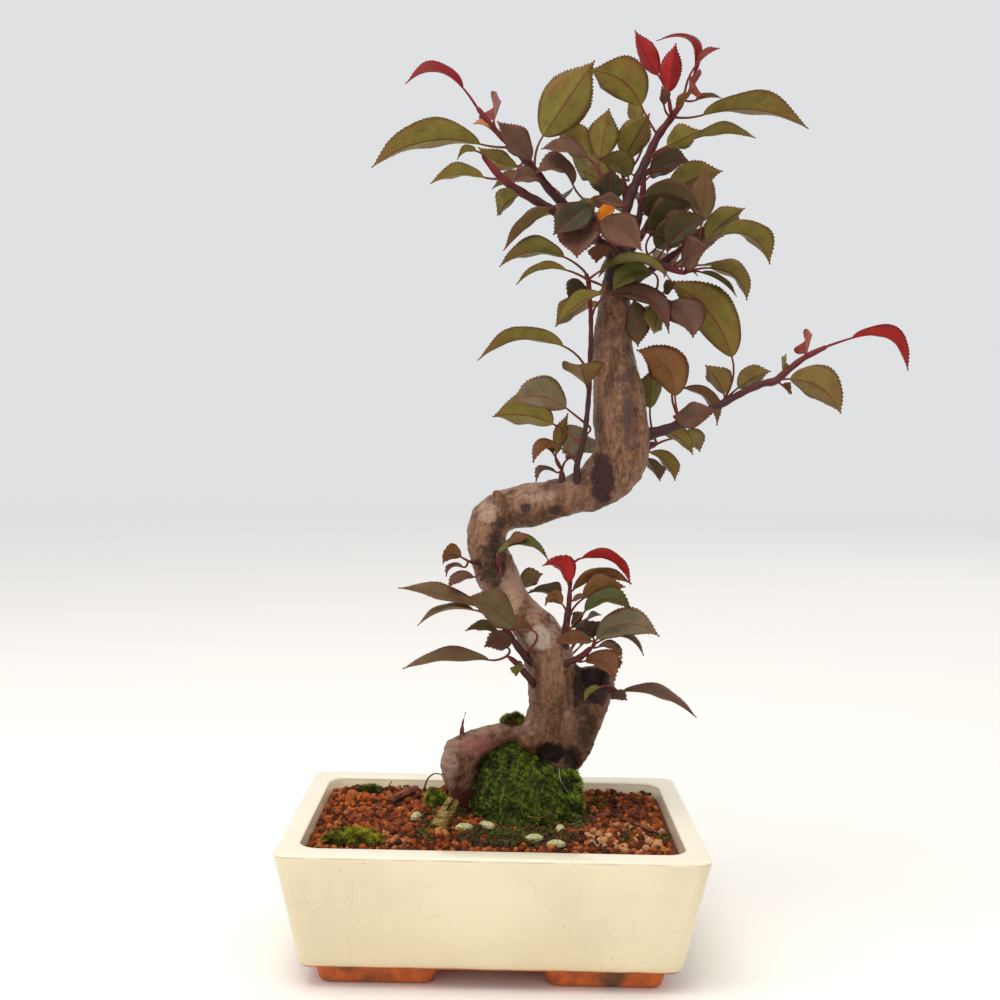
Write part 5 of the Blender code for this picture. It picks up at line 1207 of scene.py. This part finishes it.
# %% Leaf finish
def leaf_finish():
    """The leaf's own colour, mottled and blushed, with paler side veins, a red rib and a few brown spots."""
    look = Finish("leaf", specular_ior_level=0.22, subsurface_weight=0.06, subsurface_scale=0.002)
    along = look.node("ShaderNodeUVMap", {"uv_map": "along"})
    s = look.part_of(along, 0)
    v = (look.part_of(along, 1) - 0.5).math("ABSOLUTE") * 2.0
    blade = 1.0 - s.span(1.5, 2.0)
    phase = (s * VEINS - v * VEIN_LEAN).math("FRACT")
    side_vein = (phase - 0.5).math("ABSOLUTE").span(0.42, 0.49) * (1.0 - v.span(0.55, 0.95)) * blade
    rib = (1.0 - v.span(0.015, 0.065)) * blade
    mottle = look.noise(160.0, 3.0, 0.6)
    spots = (1.0 - look.cells(260.0).span(0.05, 0.12)) * look.noise(330.0, 0.0).span(0.60, 0.64)
    own = look.tint()
    colour = look.layers(
        look.mix(look.times(own, (0.68, 0.68, 0.66)), own, mottle.span(0.25, 0.60)),
        (look.times(own, (1.05, 0.72, 0.9)), look.noise(55.0, 2.0).span(0.48, 0.68) * 0.7),
        (look.times(own, (1.45, 1.25, 1.1)), side_vein * 0.35),
        (screen(112, 34, 38), rib * 0.75),
        (screen(70, 42, 28), spots * 0.6))
    look.feed(base_color=colour, roughness=0.44 + mottle * 0.2)
    look.bump(0.0 - side_vein * 0.5 - rib * 0.5 + look.noise(420.0, 2.0) * 0.5, 0.00022, 0.7)
    return look


LEAF = leaf_finish()

# %% Grow every shoot
STEM_TINT = np.array(screen(66, 42, 40))
BUD_TINT = np.array(screen(126, 40, 42))
STEM_ROW = 0.0012
STEM_SIDES = 10
# The swelling at the stem's nodes, as a share of its radius and a rate per row, and its last rings at the bud.
SWELLING, SWELLING_RATE = 0.07, 0.9
BUD = np.array([0.95, 0.85, 0.6, 0.25])


def add_stem(blocks, points):
    """A tapered tube, a little thicker at each node, that ends in a bud's point."""
    path, radii = curve_through(points, STEM_ROW)
    run = np.arange(len(path))
    radii = radii * (1 + SWELLING * np.cos(run * SWELLING_RATE))
    radii[-len(BUD):] *= BUD
    share = (run / len(run))[:, None] ** 3
    tint = STEM_TINT * (1 - share) + BUD_TINT * share
    tints = np.repeat(tint[:, None, :], STEM_SIDES, axis=1)
    blocks.tube(sweep(path, radii, STEM_SIDES), tints, np.full((len(path), STEM_SIDES, 2), OFF_BLADE))


def grow(name, stem, leaves):
    """One piece of a stem and its leaves, which stands for the solid of the same name. Returns how many it has."""
    blocks = Blocks()
    add_stem(blocks, stem)
    chance = random.Random(name + " leaves")
    count = 0
    for leaf, look in leaves:
        add_leaf(blocks, leaf, look, chance)
        count += 1
    piece = blocks.piece(name + "_leaves", LEAF)
    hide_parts(name)
    return count


total = 0
for name, (stem, *rows) in SHOOTS.items():
    grown = grow(name, stem, pictured_leaves(name, stem, rows, surface_tree(name)))
    if grown < len(rows):
        print(name, "has", grown, "of", len(rows))
    total += grown
for name, (stem, count, long) in BACK_SHOOTS.items():
    total += grow(name, stem, hidden_leaves(name, stem, count, long, surface_tree(name)))
print("leaves", total)

# %% [markdown]
# ## Soil
#
# The soil is baked clay sifted to grains of 2 to 4 mm. The solid's relief stays as the bed, and loose grains are
# strewn over it: one low ball of a few dozen faces, repeated with its own size, turn and dents, and sunk to half
# its height. Nothing is strewn where moss, wood or fertiliser lies.

# %% Soil finish
def grain_finish():
    """Baked clay in the grain's own colour, darker in its pits and dusty in places."""
    look = Finish("akadama", specular_ior_level=0.1)
    own = look.tint()
    rough = look.noise(700.0, 4.0, 0.7)
    colour = look.mix(look.times(own, (0.52, 0.48, 0.46)), own, rough.span(0.28, 0.62))
    colour = look.mix(colour, screen(206, 150, 96), look.noise(2600.0, 2.0).span(0.56, 0.72) * 0.3)
    look.feed(base_color=colour, roughness=0.94 - rough * 0.1)
    look.bump(rough + look.noise(1900.0, 3.0) * 0.5, 0.0005, 0.9)
    return look


GRAIN_TINTS = np.array([screen(*c) for c in (
    (148, 72, 32), (130, 58, 28), (166, 86, 40), (104, 48, 26), (186, 108, 56), (82, 40, 22), (64, 40, 26))])
BED_TINT = screen(104, 54, 38)
GRAINS = grain_finish()
GROUND = [name for name in nodes if name.startswith(("moss", "fertiliser", "split", "dead", "trunk"))]
# The grains' grid, how far a grain is moved on it, and how far the grid keeps from the walls.
GRAIN_STEP = 0.0031
GRAIN_JITTER = 0.0013
WALL_ROOM = 0.0022
# Grains are dropped from a height. Something that covers the soil is looked for this far down, and so is the soil.
DROP_FROM = 0.075
COVER_REACH = 0.015
SOIL_REACH = 0.03
DOWN = Vector((0.0, 0.0, -1.0))
# Half sizes of grains and their shares, and the ranges of a grain's three stretches and of its rise in half sizes.
GRAIN_SIZES = {0.0012: 0.25, 0.0015: 0.35, 0.0018: 0.25, 0.0022: 0.15}
STRETCH = (0.75, 1.2)
GRAIN_RISE = (-0.2, 0.6)
# Points round and rings of a grain's and a stone's ball, and how deep their dents are in half sizes.
GRAIN_BALL, GRAIN_DENT = (7, 3), 0.16
STONE_BALL, STONE_DENT = (12, 7), 0.07


def ball(around, rows):
    """A unit ball: rings of constant height, and a point at each pole."""
    rise = np.linspace(-1, 1, rows + 2)[1:-1] * np.pi / 2
    angle = np.linspace(0, 2 * np.pi, around, endpoint=False)
    ring = np.stack([np.cos(angle), np.sin(angle), np.zeros(around)], axis=-1)
    rings = ring[None] * np.cos(rise)[:, None, None] + np.array([0, 0, 1.0]) * np.sin(rise)[:, None, None]
    points = np.concatenate([[[0, 0, -1.0]], rings.reshape(-1, 3), [[0, 0, 1.0]]])
    return points, *outward(points, *rings_to_faces(rows, around))


def turned(chance, count):
    """Random rotation matrices, from random unit quaternions."""
    w, x, y, z = unit(chance.normal(size=(count, 4))).T
    return np.stack([
        np.stack([1 - 2 * (y * y + z * z), 2 * (x * y - z * w), 2 * (x * z + y * w)], -1),
        np.stack([2 * (x * y + z * w), 1 - 2 * (x * x + z * z), 2 * (y * z - x * w)], -1),
        np.stack([2 * (x * z - y * w), 2 * (y * z + x * w), 1 - 2 * (x * x + y * y)], -1)], -2)


def scattered(name, finish, template, places, sizes, tints, chance, dent):
    """Copies of a template: each point times its copy's own dents, three sizes and turn, moved to its place."""
    points, quads, tris = template
    count, each = len(places), len(points)
    dents = 1 + chance.uniform(-dent, dent, size=(count, each, 1))
    stretch = chance.uniform(*STRETCH, size=(count, 1, 3))
    local = points[None] * dents * stretch * sizes[:, None, None]
    world = np.einsum("nij,nkj->nki", turned(chance, count), local) + places[:, None, :]
    blocks = Blocks()
    step = (np.arange(count) * each)[:, None, None]
    blocks.add(world.reshape(-1, 3), (quads[None] + step).reshape(-1, 4), (tris[None] + step).reshape(-1, 3),
               np.repeat(tints, each, axis=0))
    return blocks.piece(name, finish)


def strewn_places(chance):
    """A jittered grid in the pot, dropped on the soil's relief, without the places that something else covers."""
    half = np.array(wall_half(SOIL_TOP, RIM)) - WALL_ROOM
    x, y = np.meshgrid(np.arange(-half[0], half[0], GRAIN_STEP), np.arange(-half[1], half[1], GRAIN_STEP))
    flat = np.stack([x.ravel(), y.ravel()], axis=-1)
    flat = np.clip(flat + chance.uniform(-GRAIN_JITTER, GRAIN_JITTER, flat.shape), -half, half)
    bed = surface_tree("soil")
    covers = [surface_tree(name) for name in GROUND]
    kept = []
    for px, py in flat + np.array(MIDDLE)[:2]:
        above = Vector((px, py, DROP_FROM))
        if any(tree.ray_cast(above, DOWN, COVER_REACH)[0] for tree in covers):
            continue
        hit = bed.ray_cast(above, DOWN, SOIL_REACH)[0]
        if hit:
            kept.append(hit)
    return np.array(kept)


# Patches of the ground: their pixel, half width and half height in pixels, colour, and their share of the grains.
PATCHES = (
    (515, 838, 62, 12, (66, 56, 34), 0.85), (575, 822, 18, 8, (74, 78, 40), 0.7),
    (350, 803, 30, 9, (176, 92, 42), 0.4), (640, 815, 30, 9, (120, 62, 42), 0.5),
    (628, 838, 44, 14, (206, 150, 104), 0.35), (382, 840, 16, 7, (190, 122, 78), 0.5),
    (430, 832, 20, 10, (84, 84, 40), 0.5), (665, 800, 20, 10, (70, 50, 40), 0.5),
    (400, 820, 50, 18, (150, 76, 44), 0.5),
)
PATCH_SHADES = (0.75, 1.2)
# Larger stones: the pixel of the middle, half the length in mm and the colour.
STONES = (
    (440, 837, 4.6, (196, 130, 74)), (657, 846, 3.8, (206, 150, 94)), (592, 846, 3.4, (176, 160, 120)),
    (608, 838, 3.0, (212, 160, 112)), (622, 850, 3.2, (204, 144, 98)), (338, 802, 4.0, (172, 88, 40)),
    (354, 795, 3.4, (180, 104, 60)), (392, 842, 2.4, (196, 126, 80)), (406, 844, 3.0, (206, 134, 86)),
    (578, 824, 3.2, (84, 100, 52)),
)


def patched(places, tints, chance):
    """The grains' colours, with each patch's colour on its share of the grains inside its ellipse."""
    x, y, _ = seen_at(places)
    for px, py, wide, high, colour, share in PATCHES:
        inside = ((x - px) / wide) ** 2 + ((y - py) / high) ** 2 < 1
        chosen = inside & (chance.uniform(size=len(places)) < share)
        shade = chance.uniform(*PATCH_SHADES, (int(chosen.sum()), 1))
        tints[chosen] = np.array(screen(*colour)) * shade
    return tints


chance = np.random.default_rng(5)
places = strewn_places(chance)
sizes = chance.choice(list(GRAIN_SIZES), size=len(places), p=list(GRAIN_SIZES.values()))
tints = GRAIN_TINTS[chance.integers(0, len(GRAIN_TINTS), len(places))]
tints = patched(places, tints, chance)
places[:, 2] += sizes * chance.uniform(*GRAIN_RISE, len(places))
grains = scattered("soil_grains", GRAINS, ball(*GRAIN_BALL), places, sizes, tints, chance, GRAIN_DENT)
stone_places = np.array([on_soil(x, y) for x, y, _, _ in STONES])
stone_sizes = np.array([size * MM for _, _, size, _ in STONES])
stone_tints = np.array([screen(*colour) for _, _, _, colour in STONES])
stones = scattered(
    "soil_stones", GRAINS, ball(*STONE_BALL), stone_places, stone_sizes, stone_tints, chance, STONE_DENT)
bed_mesh = mesh_of("soil_bed", copy_of("soil"))
paint(bed_mesh, BED_TINT)
bed = finished("soil_bed", bed_mesh, GRAINS)
for piece in (grains, stones, bed):
    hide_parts("soil")
print("grains", len(places), "faces", len(grains.data.polygons))

# %% [markdown]
# ## Moss
#
# A cushion of moss is thousands of upright stems, each with a tip of small pointed leaves. The solid mounds are
# remeshed and made lumpy as the green floor, and on it stand stars of five leaflets, each a wedge of four faces
# that leans outwards, paler towards its point.

# %% Moss
def moss_finish():
    """The moss's own green, with painted shade in random patches for its hollows, yellower clouds and brown spots."""
    look = Finish("moss", specular_ior_level=0.3, subsurface_weight=0.1, subsurface_scale=0.002)
    own = look.tint()
    patch = look.noise(120.0, 3.0)
    colour = look.layers(
        # Painted shade: random dark patches stand for the hollows between the stems.
        look.mix(look.times(own, (0.26, 0.24, 0.22)), own, patch.span(0.40, 0.58)),
        (look.times(own, (1.5, 1.25, 0.9)), look.noise(42.0, 2.0).span(0.52, 0.70) * 0.7),
        (screen(74, 52, 22), look.noise(200.0, 2.0).span(0.56, 0.68) * 0.7))
    look.feed(base_color=colour, roughness=0.75 + patch * 0.15)
    look.bump(look.noise(1300.0, 3.0), 0.0005, 0.8)
    return look


MOSS = moss_finish()
MOSS_NAMES = [name for name in nodes if name.startswith("moss")]
MOSS_DARK = np.array(screen(24, 26, 8))
MOSS_TIP = np.array(screen(118, 146, 44))
# How much yellower or brighter some cushions are.
MOSS_CASTS = {
    "moss_cushion_front": (2.2, 1.5, 0.9),
    "moss_cushion_joint": (1.5, 1.15, 0.9),
    "moss_cushion_leg": (1.4, 1.4, 1.0),
}
# Where the moss is long and pale: a pixel and half a width in pixels.
LONG_MOSS = (574, 13)
LEAFLETS = 5
# A leaflet, in shares of its star's size: how far out its foot is, half its width and its height, how far out and
# down the foot's back is, and how far out and up the tip. Then how pale these four points are.
FOOT_OUT, FOOT_HALF, FOOT_UP = 0.08, 0.13, 0.25
BACK_OUT, BACK_DOWN = 0.1, 0.15
TIP_OUT, TIP_UP = 0.5, 0.95
PALENESS = (0.25, 0.25, 0.1, 1.0)
# A direction that no star grows in.
LEVEL_SIDE = np.array([0.2, 0.9, 0.3])
# The moss's floor: its faces and smoothing, and its lumps, each a height in metres and two waves' rates along x, y
# and z with a phase for the second. It stands no higher than MOSS_TOP off the solid, and its colour is painted shade
# in the hollows and painted light on top, going from dark to pale over the height range given last.
MOSS_FACE = 0.0009
MOSS_SMOOTHING = 4
MOSS_LUMPS = (
    (0.0009, (520, 310, 200), (-260, 540, 330), 1), (0.0005, (1300, 900, 700), (-800, 1400, 900), 0),
)
MOSS_TOP = 0.0002
MOSS_SHADE_RANGE = 0.002
# Stars for each square metre of a cushion's box, their half sizes and shades, and rows for waves() that clump them.
STARS = 1.6e6
STAR_SIZES = (0.0010, 0.0021)
STAR_SHADES = (0.35, 1.3)
CLUMPS = (1, 900, 700, 800, 0.3), (0.8, 1700, 1500, 1900, 1.1)
# How clumps change a star's size and its painted shade, darker in the gaps between clumps and paler on them: the
# factor between them, how far they move it, and its bounds.
CLUMP_SIZES = (1, 0.3, 0.6, 1.3)
CLUMP_PAINTED_SHADES = (0.9, 0.9, 0.22, 2.0)
# Stars stand where the moss faces up more than this, and is this far above the soil.
LEAST_UP = -0.2
OFF_SOIL = 0.0004


def star():
    """Leaflets round a middle, each with three points at its foot and one at its tip."""
    angle = np.arange(LEAFLETS) * 2 * np.pi / LEAFLETS
    out = np.stack([np.cos(angle), np.sin(angle), np.zeros(LEAFLETS)], -1)
    side = np.stack([-np.sin(angle), np.cos(angle), np.zeros(LEAFLETS)], -1)
    up = np.array([0, 0, 1.0])
    foot = out * FOOT_OUT
    points = np.stack([
        foot - side * FOOT_HALF + up * FOOT_UP, foot + side * FOOT_HALF + up * FOOT_UP,
        foot + out * BACK_OUT - up * BACK_DOWN, foot + out * TIP_OUT + up * TIP_UP], axis=1)
    tris = np.array([(0, 2, 1), (0, 1, 3), (1, 2, 3), (2, 0, 3)])
    faces = (tris[None] + (np.arange(LEAFLETS) * 4)[:, None, None]).reshape(-1, 3)
    points = points.reshape(-1, 3)
    return points, outward(points, np.zeros((0, 4), int), faces)[1]


def set_stars(where, up, size, shade, chance):
    """Stars of leaflets at places, each along its up direction with a random turn."""
    points, faces = star()
    count = len(where)
    side = unit(np.cross(up, LEVEL_SIDE))
    spin = chance.uniform(0, FULL_TURN, (count, 1))
    x = side * np.cos(spin) + np.cross(up, side) * np.sin(spin)
    y = np.cross(up, x)
    local = points[None] * size
    world = where[:, None] + sum(local[..., k:k + 1] * axis[:, None] for k, axis in enumerate((x, y, up)))
    rise = np.tile(PALENESS, LEAFLETS)[None, :, None]
    tints = (MOSS_DARK * (1 - rise) + MOSS_TIP * rise) * shade
    step = (np.arange(count) * len(points))[:, None, None]
    tris = (faces[None] + step).reshape(-1, 3)
    blocks = Blocks()
    blocks.add(world.reshape(-1, 3), np.zeros((0, 4), int), tris, tints.reshape(-1, 3))
    return blocks


def on_surface(mesh, count, chance):
    """Random places on a mesh, in proportion to area, and the normals there."""
    mesh.calc_loop_triangles()
    corners = np.empty(len(mesh.loop_triangles) * 3, dtype=np.int32)
    mesh.loop_triangles.foreach_get("vertices", corners)
    places, _ = points_of(mesh)
    a, b, c = places[corners.reshape(-1, 3)].transpose(1, 0, 2)
    cross = np.cross(b - a, c - a)
    area = np.linalg.norm(cross, axis=1)
    normal = cross / np.maximum(area, 1e-15)[:, None]
    open_sky = area * (normal[:, 2] > LEAST_UP) * ((a + b + c)[:, 2] / 3 > SOIL_TOP + OFF_SOIL)
    pick = chance.choice(len(a), size=count, p=open_sky / open_sky.sum())
    r, q = np.sqrt(chance.uniform(size=(count, 1))), chance.uniform(size=(count, 1))
    return a[pick] * (1 - r) + b[pick] * r * (1 - q) + c[pick] * r * q, normal[pick]


def moss_floor(name):
    """The solid's surface with its lumps pressed in, with painted shade in the hollows and painted light on top."""
    floor = remeshed(name + "_floor", copy_of(name), MOSS_FACE, MOSS_SMOOTHING)
    places, normals = points_of(floor)
    height = sum(tall * np.sin(places @ np.array(one)) * np.sin(places @ np.array(other) + phase)
                 for tall, one, other, phase in MOSS_LUMPS)
    push_out(floor, places, normals, np.minimum(height, MOSS_TOP))
    # Painted shade and light: dark where the lumps are low, pale where they are high.
    mix = np.clip(0.5 + height / MOSS_SHADE_RANGE, 0, 1)[:, None]
    paint(floor, (MOSS_DARK * (1 - mix) + MOSS_TIP * 0.5 * mix) * MOSS_CASTS.get(name, (1, 1, 1)))
    return floor


def clumped(clump, middle, reach, low, high):
    """A factor that goes with the clumps, inside its bounds."""
    return np.clip(middle + reach * clump, low, high)


def moss_piece(name, chance):
    """A cushion's floor and the stars of leaflets on it. Returns how many stars it has."""
    floor = moss_floor(name)
    low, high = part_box(name)
    count = int((high[0] - low[0]) * (high[1] - low[1]) * STARS)
    where, up = on_surface(floor, count, chance)
    long = np.exp(-((seen_at(where)[0] - LONG_MOSS[0]) / LONG_MOSS[1]) ** 2)[:, None, None]
    clump = waves(where, *CLUMPS)[:, None, None]
    size = chance.uniform(*STAR_SIZES, (count, 1, 1)) * (1 + 0.4 * long) * clumped(clump, *CLUMP_SIZES)
    # Painted shade: stars in the gaps between clumps are darker, those on the clumps paler.
    shade = chance.uniform(*STAR_SHADES, (count, 1, 1)) * (1 + long) * clumped(clump, *CLUMP_PAINTED_SHADES)
    shade = shade * MOSS_CASTS.get(name, (1, 1, 1))
    stars = set_stars(where, up, size, shade, chance).piece(name + "_leaflets", MOSS, smooth=False)
    base = finished(name + "_floor", floor, MOSS)
    for piece in (stars, base):
        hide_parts(name)
    return count


# Where small tufts grow on the soil: pixel, half width and half height in pixels, and how many.
TUFTS = (
    (515, 838, 44, 11, 260), (455, 812, 14, 12, 120), (436, 826, 14, 10, 110), (575, 822, 16, 7, 110),
    (628, 842, 8, 6, 40), (664, 838, 9, 8, 50), (598, 806, 14, 7, 50), (404, 786, 16, 4, 40), (425, 838, 10, 6, 50),
)
TUFT_SIZES = (0.0009, 0.0016)
TUFT_SHADES = (0.5, 1.2)
TUFT_LIFT = Vector((0.0, 0.0, 0.0016))
ABOVE_SOIL = Vector((0.0, 0.0, 0.01))

moss_chance = np.random.default_rng(11)
for name in MOSS_NAMES:
    print(name, "stars", moss_piece(name, moss_chance))

bed_tree = surface_tree("soil")
tuft_places = []
for px, py, wide, high, count in TUFTS:
    for x, y in moss_chance.normal(0, 0.45, (count, 2)) * (wide, high) + (px, py):
        hit = bed_tree.ray_cast(on_soil(x, y) + ABOVE_SOIL, DOWN, 0.02)[0]
        if hit:
            tuft_places.append(hit)
tuft_places = np.array(tuft_places) + np.array(TUFT_LIFT)
count = len(tuft_places)
upright = np.tile([0.0, 0.0, 1.0], (count, 1))
tuft_sizes = moss_chance.uniform(*TUFT_SIZES, (count, 1, 1))
tuft_shades = moss_chance.uniform(*TUFT_SHADES, (count, 1, 1))
tufts = set_stars(tuft_places, upright, tuft_sizes, tuft_shades, moss_chance).piece("soil_moss", MOSS, smooth=False)
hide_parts("soil")
print("tufts", count)

# %% [markdown]
# ## Small things on the soil
#
# The fertiliser grains, the split root stub, the lying roots and the drain screens keep their solids, and each kind
# gets its own finish. Thin rootlets, straws and twigs too fine for the solids are swept tubes that lie on the soil.

# %% Small things
def fertiliser_finish():
    """Pressed crumbs of pale meal."""
    look = Finish("fertiliser")
    crumb = look.noise(900.0, 4.0, 0.7)
    colour = look.mix(screen(150, 146, 96), screen(208, 204, 158), crumb.span(0.35, 0.65))
    look.feed(base_color=colour, roughness=0.85 + crumb * 0.1)
    look.bump(crumb, 0.0006, 0.9)
    return look


def dead_wood_finish(name, dark, light):
    """Fibres between two colours, drawn out level, as the wood lies."""
    look = Finish(name, specular_ior_level=0.15)
    fibre = look.noise(260.0, 4.0, 0.7, at=look.stretched(0.5, 0.5, 3.0))
    colour = look.mix(screen(*dark), screen(*light), fibre.span(0.35, 0.65))
    look.feed(base_color=colour, roughness=0.78 + fibre * 0.1)
    look.bump(fibre, 0.0008, 0.9)
    return look


def screen_finish():
    """The drain screens' black plastic."""
    look = Finish("black_plastic")
    grain = look.noise(600.0, 2.0)
    colour = look.mix(screen(16, 17, 18), screen(38, 38, 38), grain)
    look.feed(base_color=colour, roughness=0.5 + grain * 0.15)
    return look


def dress(prefix, finish):
    """Gives the solids whose names start alike a finish."""
    for name, node in nodes.items():
        if name.startswith(prefix):
            node.data.materials.clear()
            node.data.materials.append(finish.material)


dress("fertiliser", fertiliser_finish())
dress("drain", screen_finish())
dress("split_root", dead_wood_finish("dead_wood", (84, 64, 32), (166, 138, 78)))
dress("dead_root", dead_wood_finish("root", (66, 34, 22), (142, 86, 60)))

# Each is its pixels, some with a depth, its radius in mm, how far it stands off the surface in mm and its colour.
LITTER = (
    (((559, 768), (560, 780), (567, 791), (575, 796)), 0.16, 0.9, (226, 218, 200)),
    (((574, 770), (578, 780), (574, 790), (584, 797)), 0.16, 0.9, (226, 218, 200)),
    (((566, 774), (570, 786), (582, 800)), 0.14, 0.9, (220, 210, 190)),
    (((424, 790, 14), (427, 779, 12), (434, 773, 9), (441, 774, 6), (446, 779, 2)), 0.45, 0.0, (44, 30, 26)),
    (((383, 797, 33), (388, 787, 33), (392, 781, 34)), 0.4, 0.0, (96, 60, 44)),
    (((527, 817), (540, 818), (548, 815)), 0.5, 0.8, (120, 100, 66)),
    (((552, 822), (566, 826), (580, 822)), 0.3, 0.8, (196, 180, 150)),
    (((392, 826), (410, 830), (424, 826)), 0.4, 0.8, (110, 72, 46)),
    (((600, 828), (616, 832), (634, 829)), 0.35, 0.8, (180, 146, 100)),
    (((636, 818), (646, 823), (658, 821)), 0.45, 0.8, (62, 42, 32)),
    (((504, 838), (520, 842), (533, 838)), 0.4, 0.8, (132, 98, 62)),
    (((643, 797), (648, 802), (652, 806)), 0.45, 0.9, (84, 104, 52)),
    (((600, 796), (612, 800), (622, 797)), 0.5, 0.8, (52, 36, 30)),
)
LITTER_ROWS = 14
LITTER_SIDES = 6
LITTER_TAPER = np.linspace(1.0, 0.6, LITTER_ROWS)
SURFACES = [surface_tree(name) for name in nodes if name.startswith(("moss", "soil", "trunk"))]


def seen(pixel, off):
    """The nearest place that the eye sees at a pixel, brought off mm nearer to the eye, or the pixel's own depth."""
    if len(pixel) == 3:
        return spot(*pixel)
    eye, ray = EYE + MIDDLE, sight(*pixel).normalized()
    far = [tree.ray_cast(eye, ray)[3] for tree in SURFACES]
    return eye + ray * (min(d for d in far if d is not None) - off * MM)


litter = Blocks()
for pixels, radius, off, colour in LITTER:
    knots = np.array([seen(pixel, off) for pixel in pixels])
    t = np.linspace(0, len(knots) - 1, LITTER_ROWS)
    path = np.stack([np.interp(t, np.arange(len(knots)), knots[:, k]) for k in range(3)], axis=-1)
    path[1:-1] = (path[:-2] + 2 * path[1:-1] + path[2:]) / 4
    litter.tube(sweep(path, radius * MM * LITTER_TAPER, LITTER_SIDES), screen(*colour))
litter_piece = litter.piece("fine_litter", GRAINS)
print("litter", len(LITTER))

# %% [markdown]
# ## Light
#
# A wide soft light from above and in front gives the leaves their sheen, a second from the left opens the shadows,
# a third behind lights the back, and a pale floor and a pale surround do the rest.

# %% Light and floor
# Each lamp's place, the side of its square, its watts and its colour, and the place that all of them look at.
LAMPS = {
    "overhead": ((-0.30, -0.45, 1.25), 0.8, 8.5, (1.0, 0.96, 0.90)),
    "left": ((-2.1, -0.9, 1.3), 1.5, 9.0, (0.95, 0.97, 1.0)),
    "back": ((1.5, 1.9, 1.8), 1.4, 11.0, (1.0, 0.97, 0.93)),
}
LIT = Vector((0.0, 0.0, 0.2))
SURROUND = (0.93, 0.94, 0.955, 1.0)
SURROUND_STRENGTH = 0.80
FLOOR_SIZE = 6.0
FLOOR_DROP = 0.0002
# The distances between which the floor fades into the surround.
FLOOR_FADE = (0.5, 4.5)


def lamp(name, place, size, watts, colour):
    """A soft square light that looks at the plant."""
    light = bpy.data.lights.new(name, "AREA")
    light.size = size
    light.energy = watts
    light.color = colour
    made = placed(name, light)
    made.location = place
    made.rotation_euler = (LIT - Vector(place)).to_track_quat("-Z", "Y").to_euler()


for name, numbers in LAMPS.items():
    lamp(name, *numbers)
world = bpy.data.worlds.new("surround")
bpy.context.scene.world = world
world.use_nodes = True
background = world.node_tree.nodes["Background"].inputs
background["Color"].default_value = SURROUND
background["Strength"].default_value = SURROUND_STRENGTH
bpy.context.scene.view_settings.view_transform = "Standard"


def floor_finish():
    """Warm white near the plant, and clearer with the distance, so that it has no edge against the surround."""
    look = Finish("floor", base_color=(0.95, 0.915, 0.87), roughness=0.9, specular_ior_level=0.0)
    away = look.node("ShaderNodeVectorMath", {"operation": "LENGTH"}, {0: look.place()}, output=1)
    look.feed(alpha=1.0 - away.span(*FLOOR_FADE))
    return look


floor_shape = bmesh.new()
bmesh.ops.create_grid(floor_shape, x_segments=1, y_segments=1, size=FLOOR_SIZE)
floor_mesh = mesh_of("floor", floor_shape)
floor_mesh.materials.append(floor_finish().material)
floor = placed("floor", floor_mesh)
floor.location.z = -FLOOR_DROP
print("lit")
